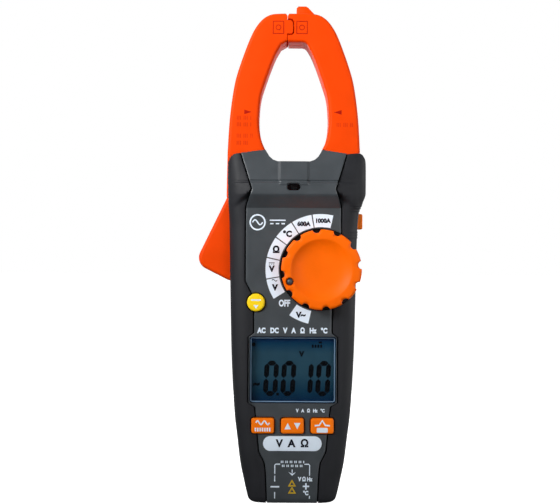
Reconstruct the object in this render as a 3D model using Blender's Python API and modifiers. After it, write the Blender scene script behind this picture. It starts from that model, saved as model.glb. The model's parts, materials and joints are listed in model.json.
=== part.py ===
"""A clamp meter: jaws, trigger, round selector, five push buttons, display and two test-lead sockets.

It stands upright on its flat lower end: the origin is the middle of that face, the jaws point up (+Z), the
display looks along -Y, and +X is to the right of someone reading it. Lengths are in millimetres, and are
turned into metres by MM where a mesh is made. Heights are drawn from a line LOWER_END below the lower end,
and the finished pieces are moved down by it.
"""

import math

import bmesh
import bpy
from mathutils import Matrix, Vector

MM = 0.001
GAP = 0.3  # between pieces that meet
LOWER_END = 3.5  # the lower end's height in the drawn outlines

# Body: height, half-width to the left and right, and the front and rear faces' distance from the middle.
BODY_SECTIONS = [
    (LOWER_END, 20.9, 20.9, 17.0, 16.4),
    (6.0, 23.4, 23.4, 18.2, 18.0),
    (25.0, 27.9, 27.9, 19.0, 19.0),
    (38.0, 29.5, 29.5, 19.0, 19.0),
    (52.0, 31.1, 31.1, 19.0, 19.0),
    (80.0, 32.7, 32.7, 19.0, 19.0),
    (112.0, 33.5, 33.5, 19.0, 19.0),
    (145.0, 34.1, 34.1, 19.0, 19.0),
    (157.0, 34.4, 34.9, 19.0, 19.0),
    (162.0, 34.7, 36.4, 19.0, 19.0),
    (166.5, 34.8, 38.3, 18.6, 18.6),
    (182.0, 35.2, 38.6, 16.2, 16.2),
    (186.0, 35.3, 38.3, 15.2, 15.2),
    (192.0, 35.5, 35.9, 13.8, 13.8),
]
FRONT_CORNER = (10.0, 9.0)  # the front edges' rounding, across and deep
REAR_CORNER = (8.0, 7.0)
CORNER_STEPS = 3
WALL = 3.4
SKIN = 1.5  # the soft grips' thickness
SEAM = 0.4  # the groove between a grip and the hard panel

# Half-outlines in X and Z, drawn up the +X side.
FRONT_PANEL = [
    (12.9, -5.0), (13.8, 19.0), (14.5, 24.9), (17.5, 30.8), (19.1, 49.0), (19.9, 55.4), (23.4, 55.4),
    (23.4, 92.6), (20.5, 92.6), (20.5, 112.0), (25.1, 120.9), (25.1, 160.0), (21.9, 169.5), (31.6, 200.0),
]
REAR_PANEL = [(15.4, -5.0), (24.4, 24.0), (27.2, 40.0), (27.8, 100.0), (27.8, 200.0)]
HOUSING_TOP = [
    (8.5, 184.4), (11.0, 185.3), (12.9, 187.0), (15.2, 190.8), (29.0, 188.6), (35.4, 189.2), (37.0, 188.4),
    (60.0, 188.4), (60.0, 205.0),
]

# Jaws, drawn down the +X side from the top.
JAW_HALF_DEPTH = 11.0
JAW_OUTER = [
    (7.0, 264.2), (12.6, 263.6), (17.0, 261.1), (20.9, 256.3), (24.4, 249.1), (29.4, 235.3), (32.2, 224.6),
    (34.4, 208.0), (35.5, 190.0),
]
JAW_WINDOW = [
    (4.6, 248.8), (7.0, 247.4), (10.6, 240.6), (15.5, 227.2), (18.0, 218.0), (18.75, 206.0), (17.6, 197.0),
    (15.2, 190.8),
]
JAW_TOP = 264.2
WINDOW_TOP = 248.8
SPLIT_X = -3.7
SPLIT_BEVEL = 1.6
JAW_WALL = 2.2
JAW_ROUNDING = 1.8
CORE_HALF_DEPTH = 4.0
HOOK_HALF_DEPTH = 4.0
TONGUE = (-0.6, 253.0, 260.4)  # how far it reaches in X, and its lower and upper edges
TONGUE_HALF_DEPTH = 10.7
TONGUE_CLEARANCE = 0.4

PIVOT = (-8.0, 172.0)
PIVOT_DISC = 11.0
PIN_RADIUS = 3.0
TRIGGER_HALF_DEPTH = 8.0
TRIGGER_TIP = (-47.2, 132.8)
TRIGGER_TIP_RADIUS = 3.9

# Controls on the front face
FACE_Y = -19.0
INNER_FACE_Y = FACE_Y + WALL
KNOB = (14.6, 127.2)
KNOB_RADIUS = 21.1
KNOB_FRONT_Y = -28.0
KNOB_DISH_RADIUS = 16.1
KNOB_NOTCHES = 12
KNOB_STEM_RADIUS = 6.0
POINTER_ANGLE = math.radians(200.8)
POINTER_RADIUS = 17.6
ROTOR_RADIUS = 12.4
DISPLAY = (22.7, 56.7, 91.3)  # half-width, lower and upper edges
BUTTON_Z = 44.7
BUTTON_PITCH = 15.7
BUTTON_SIZE = (12.1, 8.1)
BUTTON_HEIGHT = 1.4  # above the face
ROUND_BUTTON = (-19.6, 109.7)
ROUND_BUTTON_RADIUS = 4.7
ROUND_BUTTON_HEIGHT = 1.6
SIDE_BUTTON_Z = 153.0
SIDE_BUTTON_HALF = (3.9, 4.2)  # deep and high
SIDE_BUTTON_X = (30.5, 37.4)
LABEL = (15.5, 31.4, 39.2)
TORCH_Z = 170.5

# Board, sockets, batteries and fasteners
BOARD_Y = (-11.6, -10.0)
SOCKET_PITCH = 19.05
SOCKET_MOUTH = 5.6
SOCKET_DEPTH = 5.2
SOCKET_RADII = (3.0, 2.05)  # the brass sleeve and its bore
BLOCK_HALF = (17.2, 10.4)
BLOCK_TOP = 24.0
CELL_RADIUS = 5.25
CELL_LENGTH = 44.5
CELL_PITCH = 11.0
CELL_Y = 8.6
CELL_BASE_Z = 33.0
COVER_HALF_WIDTH = 18.2
COVER_Z = (24.0, 92.0)
COVER_SCREW_DROP = 6.0  # the cover's screw, below the cover's upper edge
SCREW_PLACES = [(-22.0, 36.0), (22.0, 36.0), (-24.0, 101.0), (24.0, 101.0)]


# ---------------------------------------------------------------- collections and materials

def empty_scene():
    for obj in list(bpy.data.objects):
        bpy.data.objects.remove(obj, do_unlink=True)


def new_collection(name):
    collection = bpy.data.collections.new(name)
    bpy.context.scene.collection.children.link(collection)
    return collection


def plastic(name, colour, roughness, metallic=0.0):
    """A Principled material of one colour."""
    material = bpy.data.materials.new(name)
    material.use_nodes = True
    shader = material.node_tree.nodes["Principled BSDF"]
    shader.inputs["Base Color"].default_value = (*colour, 1.0)
    shader.inputs["Roughness"].default_value = roughness
    shader.inputs["Metallic"].default_value = metallic
    return material


empty_scene()
PARTS = new_collection("clamp_meter")
CUTTERS = new_collection("cutters")

ORANGE = plastic("orange_plastic", (0.93, 0.10, 0.01), 0.35)
GREY = plastic("grey_plastic", (0.055, 0.06, 0.062), 0.5)
RUBBER = plastic("grip_rubber", (0.022, 0.022, 0.025), 0.75)
YELLOW = plastic("yellow_plastic", (0.86, 0.55, 0.01), 0.4)
CLEAR = plastic("clear_plastic", (0.7, 0.75, 0.8), 0.08)
DISPLAY_BLUE = plastic("display_glass", (0.03, 0.11, 0.17), 0.15)
WHITE = plastic("white_plastic", (0.75, 0.78, 0.8), 0.5)
BOARD_GREEN = plastic("board_laminate", (0.02, 0.14, 0.06), 0.5)
BRASS = plastic("brass", (0.75, 0.55, 0.22), 0.3, 1.0)
STEEL = plastic("steel", (0.6, 0.6, 0.62), 0.3, 1.0)
IRON = plastic("core_iron", (0.25, 0.25, 0.27), 0.45, 1.0)
CELL_JACKET = plastic("cell_jacket", (0.05, 0.12, 0.3), 0.4)


# ---------------------------------------------------------------- outlines

def smooth(points, steps=2):
    """A Catmull-Rom curve through the points."""
    ends = [points[0]] + list(points) + [points[-1]]
    curve = []
    for a, b, c, d in zip(ends, ends[1:], ends[2:], ends[3:]):
        for step in range(steps):
            t = step / steps
            weights = (
                -0.5 * t + t * t - 0.5 * t ** 3,
                1 - 2.5 * t * t + 1.5 * t ** 3,
                0.5 * t + 2 * t * t - 1.5 * t ** 3,
                -0.5 * t * t + 0.5 * t ** 3,
            )
            curve.append(tuple(sum(w * p[i] for w, p in zip(weights, (a, b, c, d))) for i in (0, 1)))
    return curve + [tuple(points[-1])]


def arc(centre, radius, start, end, count):
    """Points round a centre, from one angle to another in degrees."""
    angles = [math.radians(start + (end - start) * i / (count - 1)) for i in range(count)]
    return [(centre[0] + radius * math.cos(a), centre[1] + radius * math.sin(a)) for a in angles]


def mirrored(half):
    """A closed outline from its +X half."""
    return list(half) + [(-x, z) for x, z in reversed(half)]


def rounded_rectangle(centre, width, height, radius, count=4):
    x, z = width / 2 - radius, height / 2 - radius
    corners = [(x, -z, -90), (x, z, 0), (-x, z, 90), (-x, -z, 180)]
    outline = []
    for dx, dz, start in corners:
        outline += arc((centre[0] + dx, centre[1] + dz), radius, start, start + 90, count)
    return outline


def inset(outline, distance):
    """The outline moved inwards by a distance, each corner along its mitre."""
    area = sum(a[0] * b[1] - b[0] * a[1] for a, b in zip(outline, outline[1:] + outline[:1]))
    turn = 1 if area > 0 else -1
    moved = []
    for before, here, after in zip(outline[-1:] + outline[:-1], outline, outline[1:] + outline[:1]):
        first = (Vector(here) - Vector(before)).normalized()
        second = (Vector(after) - Vector(here)).normalized()
        normals = [Vector((-d.y, d.x)) * turn for d in (first, second)]
        mitre = (normals[0] + normals[1]).normalized()
        reach = distance / max(mitre.dot(normals[0]), 0.4)
        moved.append((here[0] + mitre.x * reach, here[1] + mitre.y * reach))
    return moved


# ---------------------------------------------------------------- solids

AXES = {
    "X": Matrix(((0, 0, 1), (1, 0, 0), (0, 1, 0))).to_4x4(),  # outline in Y and Z
    "Y": Matrix(((1, 0, 0), (0, 0, -1), (0, 1, 0))).to_4x4(),  # outline in X and Z
    "Z": Matrix.Identity(4),  # outline in X and Y
}


def add_object(name, mesh, material=None):
    """Link a mesh as a part, or as a cutter when it has no material."""
    obj = bpy.data.objects.new(name, mesh)
    if material:
        mesh.materials.append(material)
        PARTS.objects.link(obj)
    else:
        CUTTERS.objects.link(obj)
        obj.hide_render = True
        obj.display_type = "WIRE"
    return obj


def add_bmesh(name, shape, material=None):
    mesh = bpy.data.meshes.new(name)
    shape.to_mesh(mesh)
    shape.free()
    mesh.shade_smooth()
    mesh.set_sharp_from_angle(angle=math.radians(35))
    return add_object(name, mesh, material)


def extruded(name, outline, low, high, material=None, axis="Y"):
    """A flat outline, as a filled 2D curve, given a thickness along an axis and made a mesh."""
    curve = bpy.data.curves.new(name, "CURVE")
    curve.dimensions = "2D"
    curve.fill_mode = "BOTH"
    curve.extrude = (high - low) / 2 * MM
    curve.resolution_u = 1
    spline = curve.splines.new("POLY")
    spline.points.add(len(outline) - 1)
    for point, (u, v) in zip(spline.points, outline):
        point.co = (u * MM, v * MM, 0, 1)
    spline.use_cyclic_u = True
    drawing = bpy.data.objects.new(name + "_outline", curve)
    CUTTERS.objects.link(drawing)
    evaluated = drawing.evaluated_get(bpy.context.evaluated_depsgraph_get())
    mesh = bpy.data.meshes.new_from_object(evaluated)
    bpy.data.objects.remove(drawing)
    middle = (low + high) / 2 * MM
    along = {"X": (middle, 0, 0), "Y": (0, middle, 0), "Z": (0, 0, middle)}[axis]
    mesh.transform(Matrix.Translation(along) @ AXES[axis])
    shape = bmesh.new()
    shape.from_mesh(mesh)
    bpy.data.meshes.remove(mesh)
    bmesh.ops.remove_doubles(shape, verts=shape.verts, dist=1e-6)
    bmesh.ops.dissolve_limit(shape, angle_limit=math.radians(0.5), verts=shape.verts, edges=shape.edges)
    bmesh.ops.recalc_face_normals(shape, faces=shape.faces)
    return add_bmesh(name, shape, material)


def box(name, low, high, material=None):
    shape = bmesh.new()
    bmesh.ops.create_cube(shape, size=1)
    size = [(b - a) * MM for a, b in zip(low, high)]
    bmesh.ops.scale(shape, vec=size, verts=shape.verts)
    bmesh.ops.translate(shape, vec=[(a + b) / 2 * MM for a, b in zip(low, high)], verts=shape.verts)
    return add_bmesh(name, shape, material)


def cylinder(name, start, radius, length, material=None, axis="Y", vertices=24, end_radius=None):
    """A cylinder or cone from a start point, along an axis."""
    shape = bmesh.new()
    bmesh.ops.create_cone(
        shape, cap_ends=True, segments=vertices, radius1=radius * MM,
        radius2=(radius if end_radius is None else end_radius) * MM, depth=length * MM,
    )
    turn = {"X": Matrix.Rotation(math.radians(90), 4, "Y"), "Y": Matrix.Rotation(math.radians(-90), 4, "X")}
    bmesh.ops.translate(shape, vec=(0, 0, length / 2 * MM), verts=shape.verts)
    place = Matrix.Translation([value * MM for value in start]) @ turn.get(axis, Matrix.Identity(4))
    bmesh.ops.transform(shape, matrix=place, verts=shape.verts)
    return add_bmesh(name, shape, material)


def turned(name, profile, centre, material, steps=36):
    """A profile of radius and depth, outer side first, turned about an axis along Y through a centre."""
    shape = bmesh.new()
    points = [shape.verts.new((radius * MM, 0, -depth * MM)) for radius, depth in profile]
    for first, second in zip(points, points[1:]):
        shape.edges.new((first, second))
    obj = add_bmesh(name, shape, material)
    screw = obj.modifiers.new("turn", "SCREW")
    screw.steps = steps
    screw.render_steps = steps
    screw.use_merge_vertices = True
    screw.merge_threshold = 1e-5
    obj.rotation_euler = (math.radians(90), 0, 0)
    obj.location = (centre[0] * MM, 0, centre[1] * MM)
    bpy.context.view_layer.update()
    return obj


def bevel(obj, width, segments=2, angle=40):
    modifier = obj.modifiers.new("bevel", "BEVEL")
    modifier.width = width * MM
    modifier.segments = segments
    modifier.limit_method = "ANGLE"
    modifier.angle_limit = math.radians(angle)
    return obj


def combine(obj, operation, *tools):
    """Add Boolean modifiers, one for each tool."""
    for tool in tools:
        modifier = obj.modifiers.new(tool.name, "BOOLEAN")
        modifier.operation = operation
        modifier.object = tool
    return obj


def cut(obj, *tools):
    return combine(obj, "DIFFERENCE", *tools)


def join(obj, *tools):
    return combine(obj, "UNION", *tools)


def set_origin(obj, point):
    """Move an object's origin to a point, with its mesh left where it is."""
    place = Vector([value * MM for value in point])
    obj.data.transform(Matrix.Translation(-place))
    obj.location = place
    return obj


def ring_section(height, shrink):
    """The body's outline at a height, as points round it, front right first."""
    rows = BODY_SECTIONS
    level = min(max(height, rows[0][0]), rows[-1][0])
    low, high = next((a, b) for a, b in zip(rows, rows[1:]) if a[0] <= level <= b[0])
    share = (level - low[0]) / (high[0] - low[0])
    left, right, front, rear = [a + (b - a) * share - shrink for a, b in zip(low[1:], high[1:])]
    points = []
    for sign_x, sign_y, start in ((1, -1, -90), (1, 1, 0), (-1, 1, 90), (-1, -1, 180)):
        across, deep = [size - shrink for size in (FRONT_CORNER if sign_y < 0 else REAR_CORNER)]
        side = right if sign_x > 0 else left
        face = front if sign_y < 0 else rear
        for step in range(CORNER_STEPS + 1):
            angle = math.radians(start + 90 / CORNER_STEPS * step)
            points.append((
                sign_x * (side - across) + across * math.cos(angle),
                sign_y * (face - deep) + deep * math.sin(angle),
                height,
            ))
    return points


def body_form(name, shrink=0.0, bottom=LOWER_END, top=192.0, material=None):
    """The body's outer shape, made smaller all round, between two heights: a loft through its sections."""
    heights = [bottom] + [row[0] for row in BODY_SECTIONS if bottom + 0.5 < row[0] < top - 0.5] + [top]
    shape = bmesh.new()
    rings = [
        [shape.verts.new([value * MM for value in point]) for point in ring_section(height, shrink)]
        for height in heights
    ]
    for lower, upper in zip(rings, rings[1:]):
        for i, corner in enumerate(lower):
            after = (i + 1) % len(lower)
            shape.faces.new((corner, lower[after], upper[after], upper[i]))
    shape.faces.new(list(reversed(rings[0])))
    shape.faces.new(rings[-1])
    return add_bmesh(name, shape, material)


# ---------------------------------------------------------------- shared cutters

BEHIND_FRONT = box("behind_front", (-70, -GAP / 2, -10), (70, 60, 300))
BEFORE_REAR = box("before_rear", (-70, -60, -10), (70, GAP / 2, 300))


def jaw_sweep():
    """The space that the moving jaw sweeps, open to the left."""
    above = [(-60, 205), (-15.2, 205), (-15.2, 190.8), (-12.9, 187.0), (-9.0, 184.9)]
    round_the_disc = arc(PIVOT, PIVOT_DISC + 0.4, 80, -90, 9)
    depth = JAW_HALF_DEPTH + 0.4
    return extruded("jaw_sweep", above + round_the_disc + [(-20, 156), (-60, 150)], -depth, depth)


TRIGGER_SLOT = box("trigger_slot", (-60, -TRIGGER_HALF_DEPTH - 0.6, 113), (-20, TRIGGER_HALF_DEPTH + 0.6, 170))
JAW_SWEEP = jaw_sweep()
CAVITY = body_form("cavity", WALL, LOWER_END + WALL, 180.0)
HOUSING_TRIM = extruded("housing_trim", mirrored(HOUSING_TOP), -40, 40)


def fixed_jaw_outline(split=SPLIT_X + GAP / 2):
    """The fixed jaw seen from the front: its arm, and the root held inside the housing."""
    root = [
        (33.4, 186.0), (33.2, 160.0), (12.0, 158.8), (5.6, 165.5), (4.4, 172.0), (5.0, 181.0), (9.4, 182.4),
        (13.8, 185.3), (16.6, 190.6), (15.2, 191.2),
    ]
    outer = [(split, JAW_TOP)] + smooth(JAW_OUTER)
    window = list(reversed(smooth(JAW_WINDOW[:-1] + [(15.2, 191.4)])))
    return outer + root[:-1] + window + [(split, WINDOW_TOP)]


def moving_jaw_outline(split=SPLIT_X - GAP / 2):
    """The moving jaw seen from the front: its arm, down to the disc round the pivot."""
    outer = [(split, JAW_TOP)] + [(-x, z) for x, z in smooth(JAW_OUTER)] + [(-35.9, 166.0), (-30.0, 160.0)]
    disc = arc(PIVOT, PIVOT_DISC, 245, 442, 14)
    window = [(-9.6, 184.6), (-12.9, 187.0)] + [(-x, z) for x, z in reversed(smooth(JAW_WINDOW[1:]))]
    return outer + disc + window + [(split, WINDOW_TOP)]


def trigger_outline():
    tip = arc(TRIGGER_TIP, TRIGGER_TIP_RADIUS, 154, 245, 6)
    inside = [(-35.2, 122.4), (-30.0, 121.2), (-24.0, 150.0), (-20.0, 172.0)]
    return [(-35.9, 172.0), (-35.9, 165.3)] + tip + inside


# ---------------------------------------------------------------- the housing

def grip_void(name, panel, front):
    """What the soft grips take away from the hard covers: a skin all round, except over the panel."""
    skin = body_form(name, -2.0, -2.0, 194.0)
    core = body_form(name + "_core", SKIN, -3.0, 195.0)
    reach = (-60, 0) if front else (0, 60)
    return cut(skin, extruded(name + "_panel", mirrored(panel), *reach), core)


def yoke(name, half_width, lift):
    """The hand guard across the front, as a ridge along X, raised by a lift."""
    profile = [
        (-12.0, 191.5), (-14.2 - lift, 191.5), (-22.6 - lift, 174.2), (-23.6 - lift, 172.6), (-24.0, 167.0),
        (-23.2, 165.4), (-19.0, 159.6), (-12.0, 157.0),
    ]
    return extruded(name, profile, -half_width, half_width, axis="X")


def screw_bosses(name, radius, low, high):
    """Four posts, one at each case screw, as one tool."""
    shape = bmesh.new()
    for x, z in SCREW_PLACES:
        middle = Vector((x, (low + high) / 2, z)) * MM
        turn = Matrix.Translation(middle) @ Matrix.Rotation(math.pi / 2, 4, "X")
        bmesh.ops.create_cone(
            shape, cap_ends=True, segments=16, radius1=radius * MM, radius2=radius * MM,
            depth=(high - low) * MM, matrix=turn,
        )
    return add_bmesh(name, shape)


def control_openings():
    """The holes in the front face, as cutters that run through cover and grips."""
    half, low, high = DISPLAY
    window = rounded_rectangle((0, (low + high) / 2), 2 * half + 0.6, high - low + 0.6, 1.2)
    holes = [extruded("display_hole", window, -30, INNER_FACE_Y + 1)]
    for number in (-1, 0, 1):
        width, height = BUTTON_SIZE
        outline = rounded_rectangle((number * BUTTON_PITCH, BUTTON_Z), width + 0.8, height + 0.8, 1.6)
        holes.append(extruded(f"button_hole_{number + 2}", outline, -30, INNER_FACE_Y + 1))
    x, z = ROUND_BUTTON
    holes.append(cylinder("round_button_hole", (x, -30, z), ROUND_BUTTON_RADIUS + 0.5, 15.5))
    holes.append(cylinder("stem_hole", (KNOB[0], -30, KNOB[1]), KNOB_STEM_RADIUS + 0.4, 15.5))
    return holes


SIDE_HOLE = box("side_button_hole", (30, -4.6, SIDE_BUTTON_Z - 4.8), (45, 4.6, SIDE_BUTTON_Z + 4.8))
BLOCK_ROOM = (BLOCK_HALF[0] + GAP, BLOCK_HALF[1] + GAP)
BLOCK_HOLE = box("block_hole", (-BLOCK_ROOM[0], -BLOCK_ROOM[1], -5), (*BLOCK_ROOM, 8))
FIXED_JAW_HOLE = extruded("fixed_jaw_hole", inset(fixed_jaw_outline(), -GAP), -11.4, 11.4)
OPENINGS = control_openings()
KNOB_WELL = cylinder("knob_well", (KNOB[0], -30, KNOB[1]), KNOB_RADIUS + 0.7, 11.4, vertices=48)


def make_front_cover():
    cover = body_form("front_cover", material=GREY)
    cut(cover, BEHIND_FRONT, grip_void("front_skin", FRONT_PANEL, True), CAVITY)
    within_panel = extruded("guard_outline", mirrored(FRONT_PANEL), -60, 0)
    guard = combine(yoke("guard", 32, 0), "INTERSECT", within_panel)
    join(cover, guard, yoke("guard_boss", 6.9, 1.0))
    posts = screw_bosses("front_posts", 2.9, INNER_FACE_Y - 0.1, -0.6)
    join(cover, posts, cylinder("front_pivot_post", (PIVOT[0], -17.0, PIVOT[1]), 5.0, 5.6, vertices=20))
    cut(cover, screw_bosses("front_post_holes", 1.7, -12.0, 1.0))
    cut(cover, cylinder("front_pivot_hole", (PIVOT[0], -14.6, PIVOT[1]), PIN_RADIUS + GAP, 6, vertices=20))
    lens = extruded("torch_hole", rounded_rectangle((0, TORCH_Z), 7.0, 3.4, 1.69), -30, -16.5)
    cut(cover, *OPENINGS, KNOB_WELL, lens, SIDE_HOLE, BLOCK_HOLE, FIXED_JAW_HOLE, TRIGGER_SLOT, JAW_SWEEP)
    return cut(cover, HOUSING_TRIM)


def make_rear_cover():
    cover = body_form("rear_cover", material=GREY)
    cut(cover, BEFORE_REAR, grip_void("rear_skin", REAR_PANEL, False), CAVITY)
    posts = screw_bosses("rear_posts", 3.7, 0.6, 18.0)
    join(cover, posts, cylinder("rear_pivot_post", (PIVOT[0], 11.4, PIVOT[1]), 5.0, 5.6, vertices=20))
    cut(cover, screw_bosses("rear_post_holes", 1.7, -1.0, 20.0))
    cut(cover, screw_bosses("rear_head_holes", 3.0, 12.5, 25.0))
    cut(cover, cylinder("rear_pivot_hole", (PIVOT[0], 8.6, PIVOT[1]), PIN_RADIUS + GAP, 6, vertices=20))
    low, high = COVER_Z
    outline = rounded_rectangle((0, (low + high) / 2), 2 * COVER_HALF_WIDTH, high - low, 3)
    cut(cover, extruded("battery_opening", outline, 10, 30))
    screw_z = high - COVER_SCREW_DROP
    join(cover, box("cover_lug", (-5, 12.2, screw_z - 3.4), (5, 15.9, high + 4)))
    cut(cover, cylinder("cover_lug_hole", (0, 10, screw_z), 1.7, 8, vertices=12))
    return cut(cover, SIDE_HOLE, BLOCK_HOLE, FIXED_JAW_HOLE, TRIGGER_SLOT, JAW_SWEEP, HOUSING_TRIM)


def make_grip(name, panel, front, left):
    """One soft grip: the body's skin, outside the panel's seam, on one side and one half."""
    grip = body_form(name, material=RUBBER)
    cut(grip, body_form(name + "_inside", SKIN - GAP, -3.0, 195.0))
    reach = (-60, 0) if front else (0, 60)
    cut(grip, extruded(name + "_panel", inset(mirrored(panel), -SEAM), *reach))
    cut(grip, BEHIND_FRONT if front else BEFORE_REAR)
    other_side = (-5, 70) if left else (-70, 5)
    cut(grip, box(name + "_other", (other_side[0], -60, -10), (other_side[1], 60, 300)))
    tools = [HOUSING_TRIM, TRIGGER_SLOT, JAW_SWEEP] if left else [HOUSING_TRIM, SIDE_HOLE, FIXED_JAW_HOLE]
    if front:
        tools += [OPENINGS[1], OPENINGS[4]] if left else [OPENINGS[3], KNOB_WELL]
    return cut(grip, *tools)


# ---------------------------------------------------------------- the jaws

def split_chamfer(name):
    """A small V in the top of the jaws, where they part."""
    reach = SPLIT_BEVEL + 0.5
    top = JAW_TOP + 0.5
    outline = [(SPLIT_X, JAW_TOP - SPLIT_BEVEL), (SPLIT_X + reach, top), (SPLIT_X - reach, top)]
    return extruded(name, outline, -20, 20)


def jaw_shell(name, outline, hollow, front, *tools):
    """One half of a jaw's case: its outline with rounded edges, joined to its tools and hollowed."""
    shell = bevel(extruded(name, outline, -JAW_HALF_DEPTH, JAW_HALF_DEPTH, ORANGE), JAW_ROUNDING)
    cut(shell, split_chamfer(name + "_chamfer"), BEHIND_FRONT if front else BEFORE_REAR)
    join(shell, *tools)
    depth = JAW_HALF_DEPTH - JAW_WALL
    return cut(shell, extruded(name + "_hollow", inset(hollow, JAW_WALL), -depth, depth))


def tongue_outline(clearance):
    reach, low, high = TONGUE
    end = reach + clearance
    return [
        (SPLIT_X - 1.5, low - clearance), (end, low - clearance), (end, high - 0.7 + clearance),
        (SPLIT_X - 1.5, high + clearance),
    ]


def make_fixed_jaw():
    outline = fixed_jaw_outline()
    hollow = fixed_jaw_outline(split=TONGUE[0] + 0.8)
    hook = [(1.5, 262.0), (1.5, 268.2), (2.6, 269.4), (5.9, 269.4), (7.1, 268.8), (12.0, 263.5), (12.0, 262.0)]
    for name, front in (("fixed_jaw_front_shell", True), ("fixed_jaw_rear_shell", False)):
        reach = (-HOOK_HALF_DEPTH, -GAP / 2) if front else (GAP / 2, HOOK_HALF_DEPTH)
        shell = jaw_shell(name, outline, hollow, front, extruded(name + "_hook", hook, *reach))
        cut(shell, extruded(name + "_notch", tongue_outline(TONGUE_CLEARANCE), -20, 20))
    core = inset(fixed_jaw_outline(split=TONGUE[0] + 1.2), JAW_WALL + 1.3)
    extruded("fixed_jaw_core", core, -CORE_HALF_DEPTH, CORE_HALF_DEPTH, IRON)


def make_moving_jaw():
    outline = moving_jaw_outline()
    grip = trigger_outline()
    for name, front in (("moving_jaw_front_shell", True), ("moving_jaw_rear_shell", False)):
        finger = extruded(name + "_trigger", grip, -TRIGGER_HALF_DEPTH, TRIGGER_HALF_DEPTH)
        bevel(finger, JAW_ROUNDING)
        cut(finger, BEHIND_FRONT if front else BEFORE_REAR)
        shell = jaw_shell(name, outline, outline, front, finger)
        hollow_reach = (-6.0, 0) if front else (0, 6.0)
        cut(shell, extruded(name + "_trigger_hollow", inset(grip, JAW_WALL), *hollow_reach))
        tongue_reach = (-TONGUE_HALF_DEPTH, -GAP / 2) if front else (GAP / 2, TONGUE_HALF_DEPTH)
        join(shell, extruded(name + "_tongue", tongue_outline(0.0), *tongue_reach))
        hole = cylinder(name + "_pivot_hole", (PIVOT[0], -15, PIVOT[1]), PIN_RADIUS + GAP, 30, vertices=20)
        cut(shell, hole)
        set_origin(shell, (PIVOT[0], 0, PIVOT[1]))
    core = extruded(
        "moving_jaw_core", inset(moving_jaw_outline(), JAW_WALL + 1.3), -CORE_HALF_DEPTH, CORE_HALF_DEPTH, IRON
    )
    cut(core, cylinder("core_pivot_hole", (PIVOT[0], -15, PIVOT[1]), PIN_RADIUS + 0.6, 30, vertices=20))
    set_origin(core, (PIVOT[0], 0, PIVOT[1]))


# ---------------------------------------------------------------- the selector

def make_selector():
    """The round knob with its pointer, and the rotor that wipes the board behind the face."""
    back = FACE_Y - 0.5
    profile = [
        (0.0, back), (KNOB_RADIUS - 0.8, back), (KNOB_RADIUS, back - 0.8), (KNOB_RADIUS, KNOB_FRONT_Y + 1.6),
        (KNOB_RADIUS - 0.5, KNOB_FRONT_Y + 0.5), (KNOB_RADIUS - 1.6, KNOB_FRONT_Y),
        (KNOB_DISH_RADIUS + 0.4, KNOB_FRONT_Y), (KNOB_DISH_RADIUS - 1.2, KNOB_FRONT_Y + 1.1),
        (KNOB_DISH_RADIUS * 0.5, KNOB_FRONT_Y + 1.7), (0.0, KNOB_FRONT_Y + 1.9),
    ]
    knob = turned("selector_knob", profile, KNOB, ORANGE)
    notches = bmesh.new()
    for number in range(KNOB_NOTCHES):
        angle = math.radians(7 + 360 / KNOB_NOTCHES * number)
        outside = KNOB_RADIUS + 1.0
        place = Vector((KNOB[0] + outside * math.cos(angle), -24, KNOB[1] + outside * math.sin(angle)))
        turn = Matrix.Translation(place * MM) @ Matrix.Rotation(math.pi / 2, 4, "X")
        bmesh.ops.create_cone(
            notches, cap_ends=True, segments=10, radius1=2.3 * MM, radius2=2.3 * MM, depth=14 * MM, matrix=turn
        )
    cut(knob, add_bmesh("knob_notches", notches))
    pointer = (
        KNOB[0] + POINTER_RADIUS * math.cos(POINTER_ANGLE), KNOB_FRONT_Y - 3,
        KNOB[1] + POINTER_RADIUS * math.sin(POINTER_ANGLE),
    )
    cut(knob, cylinder("pointer_hole", pointer, 2.0, 6.0, vertices=16))
    join(knob, cylinder("knob_stem", (KNOB[0], back - 1, KNOB[1]), KNOB_STEM_RADIUS, 5.1))
    dot = cylinder("knob_pointer", (pointer[0], KNOB_FRONT_Y + 0.4, pointer[2]), 1.6, 2.2, GREY, vertices=16)
    set_origin(dot, (KNOB[0], 0, KNOB[1]))
    disc_start = (KNOB[0], INNER_FACE_Y + 0.9, KNOB[1])
    rotor = cylinder("selector_rotor", disc_start, ROTOR_RADIUS, 1.3, WHITE, vertices=32)
    join(rotor, cylinder("rotor_hub", (KNOB[0], INNER_FACE_Y + 0.4, KNOB[1]), 5.0, 1.0))
    set_origin(rotor, (KNOB[0], 0, KNOB[1]))
    ring = cylinder("rotor_contacts", (KNOB[0], -13.1, KNOB[1]), 11.0, 0.8, BRASS, vertices=32)
    cut(ring, cylinder("contact_ring_hole", (KNOB[0], -14, KNOB[1]), 8.5, 3.0, vertices=32))
    set_origin(ring, (KNOB[0], 0, KNOB[1]))


# ---------------------------------------------------------------- the display and the front buttons

def make_display():
    half, low, high = DISPLAY
    middle = (low + high) / 2
    window = rounded_rectangle((0, middle), 2 * half, high - low, 1.0)
    extruded("display_window", window, FACE_Y + 0.2, FACE_Y + 1.9, CLEAR)
    frame = box("display_holder", (-25.5, -14.0, low - 3.6), (25.5, -11.9, high + 3.6), WHITE)
    cut(frame, box("display_holder_hole", (-24.3, -20, low - 2.2), (24.3, -5, high + 2.2)))
    box("display_glass", (-24.0, -14.8, low - 1.9), (24.0, -13.8, high + 1.9), DISPLAY_BLUE)
    box("display_backlight", (-24.0, -13.5, low + 1.2), (24.0, -12.0, high + 1.9), WHITE)
    box("display_connector", (-22.0, -13.5, low - 1.6), (22.0, -11.9, low + 0.6), RUBBER)


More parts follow.
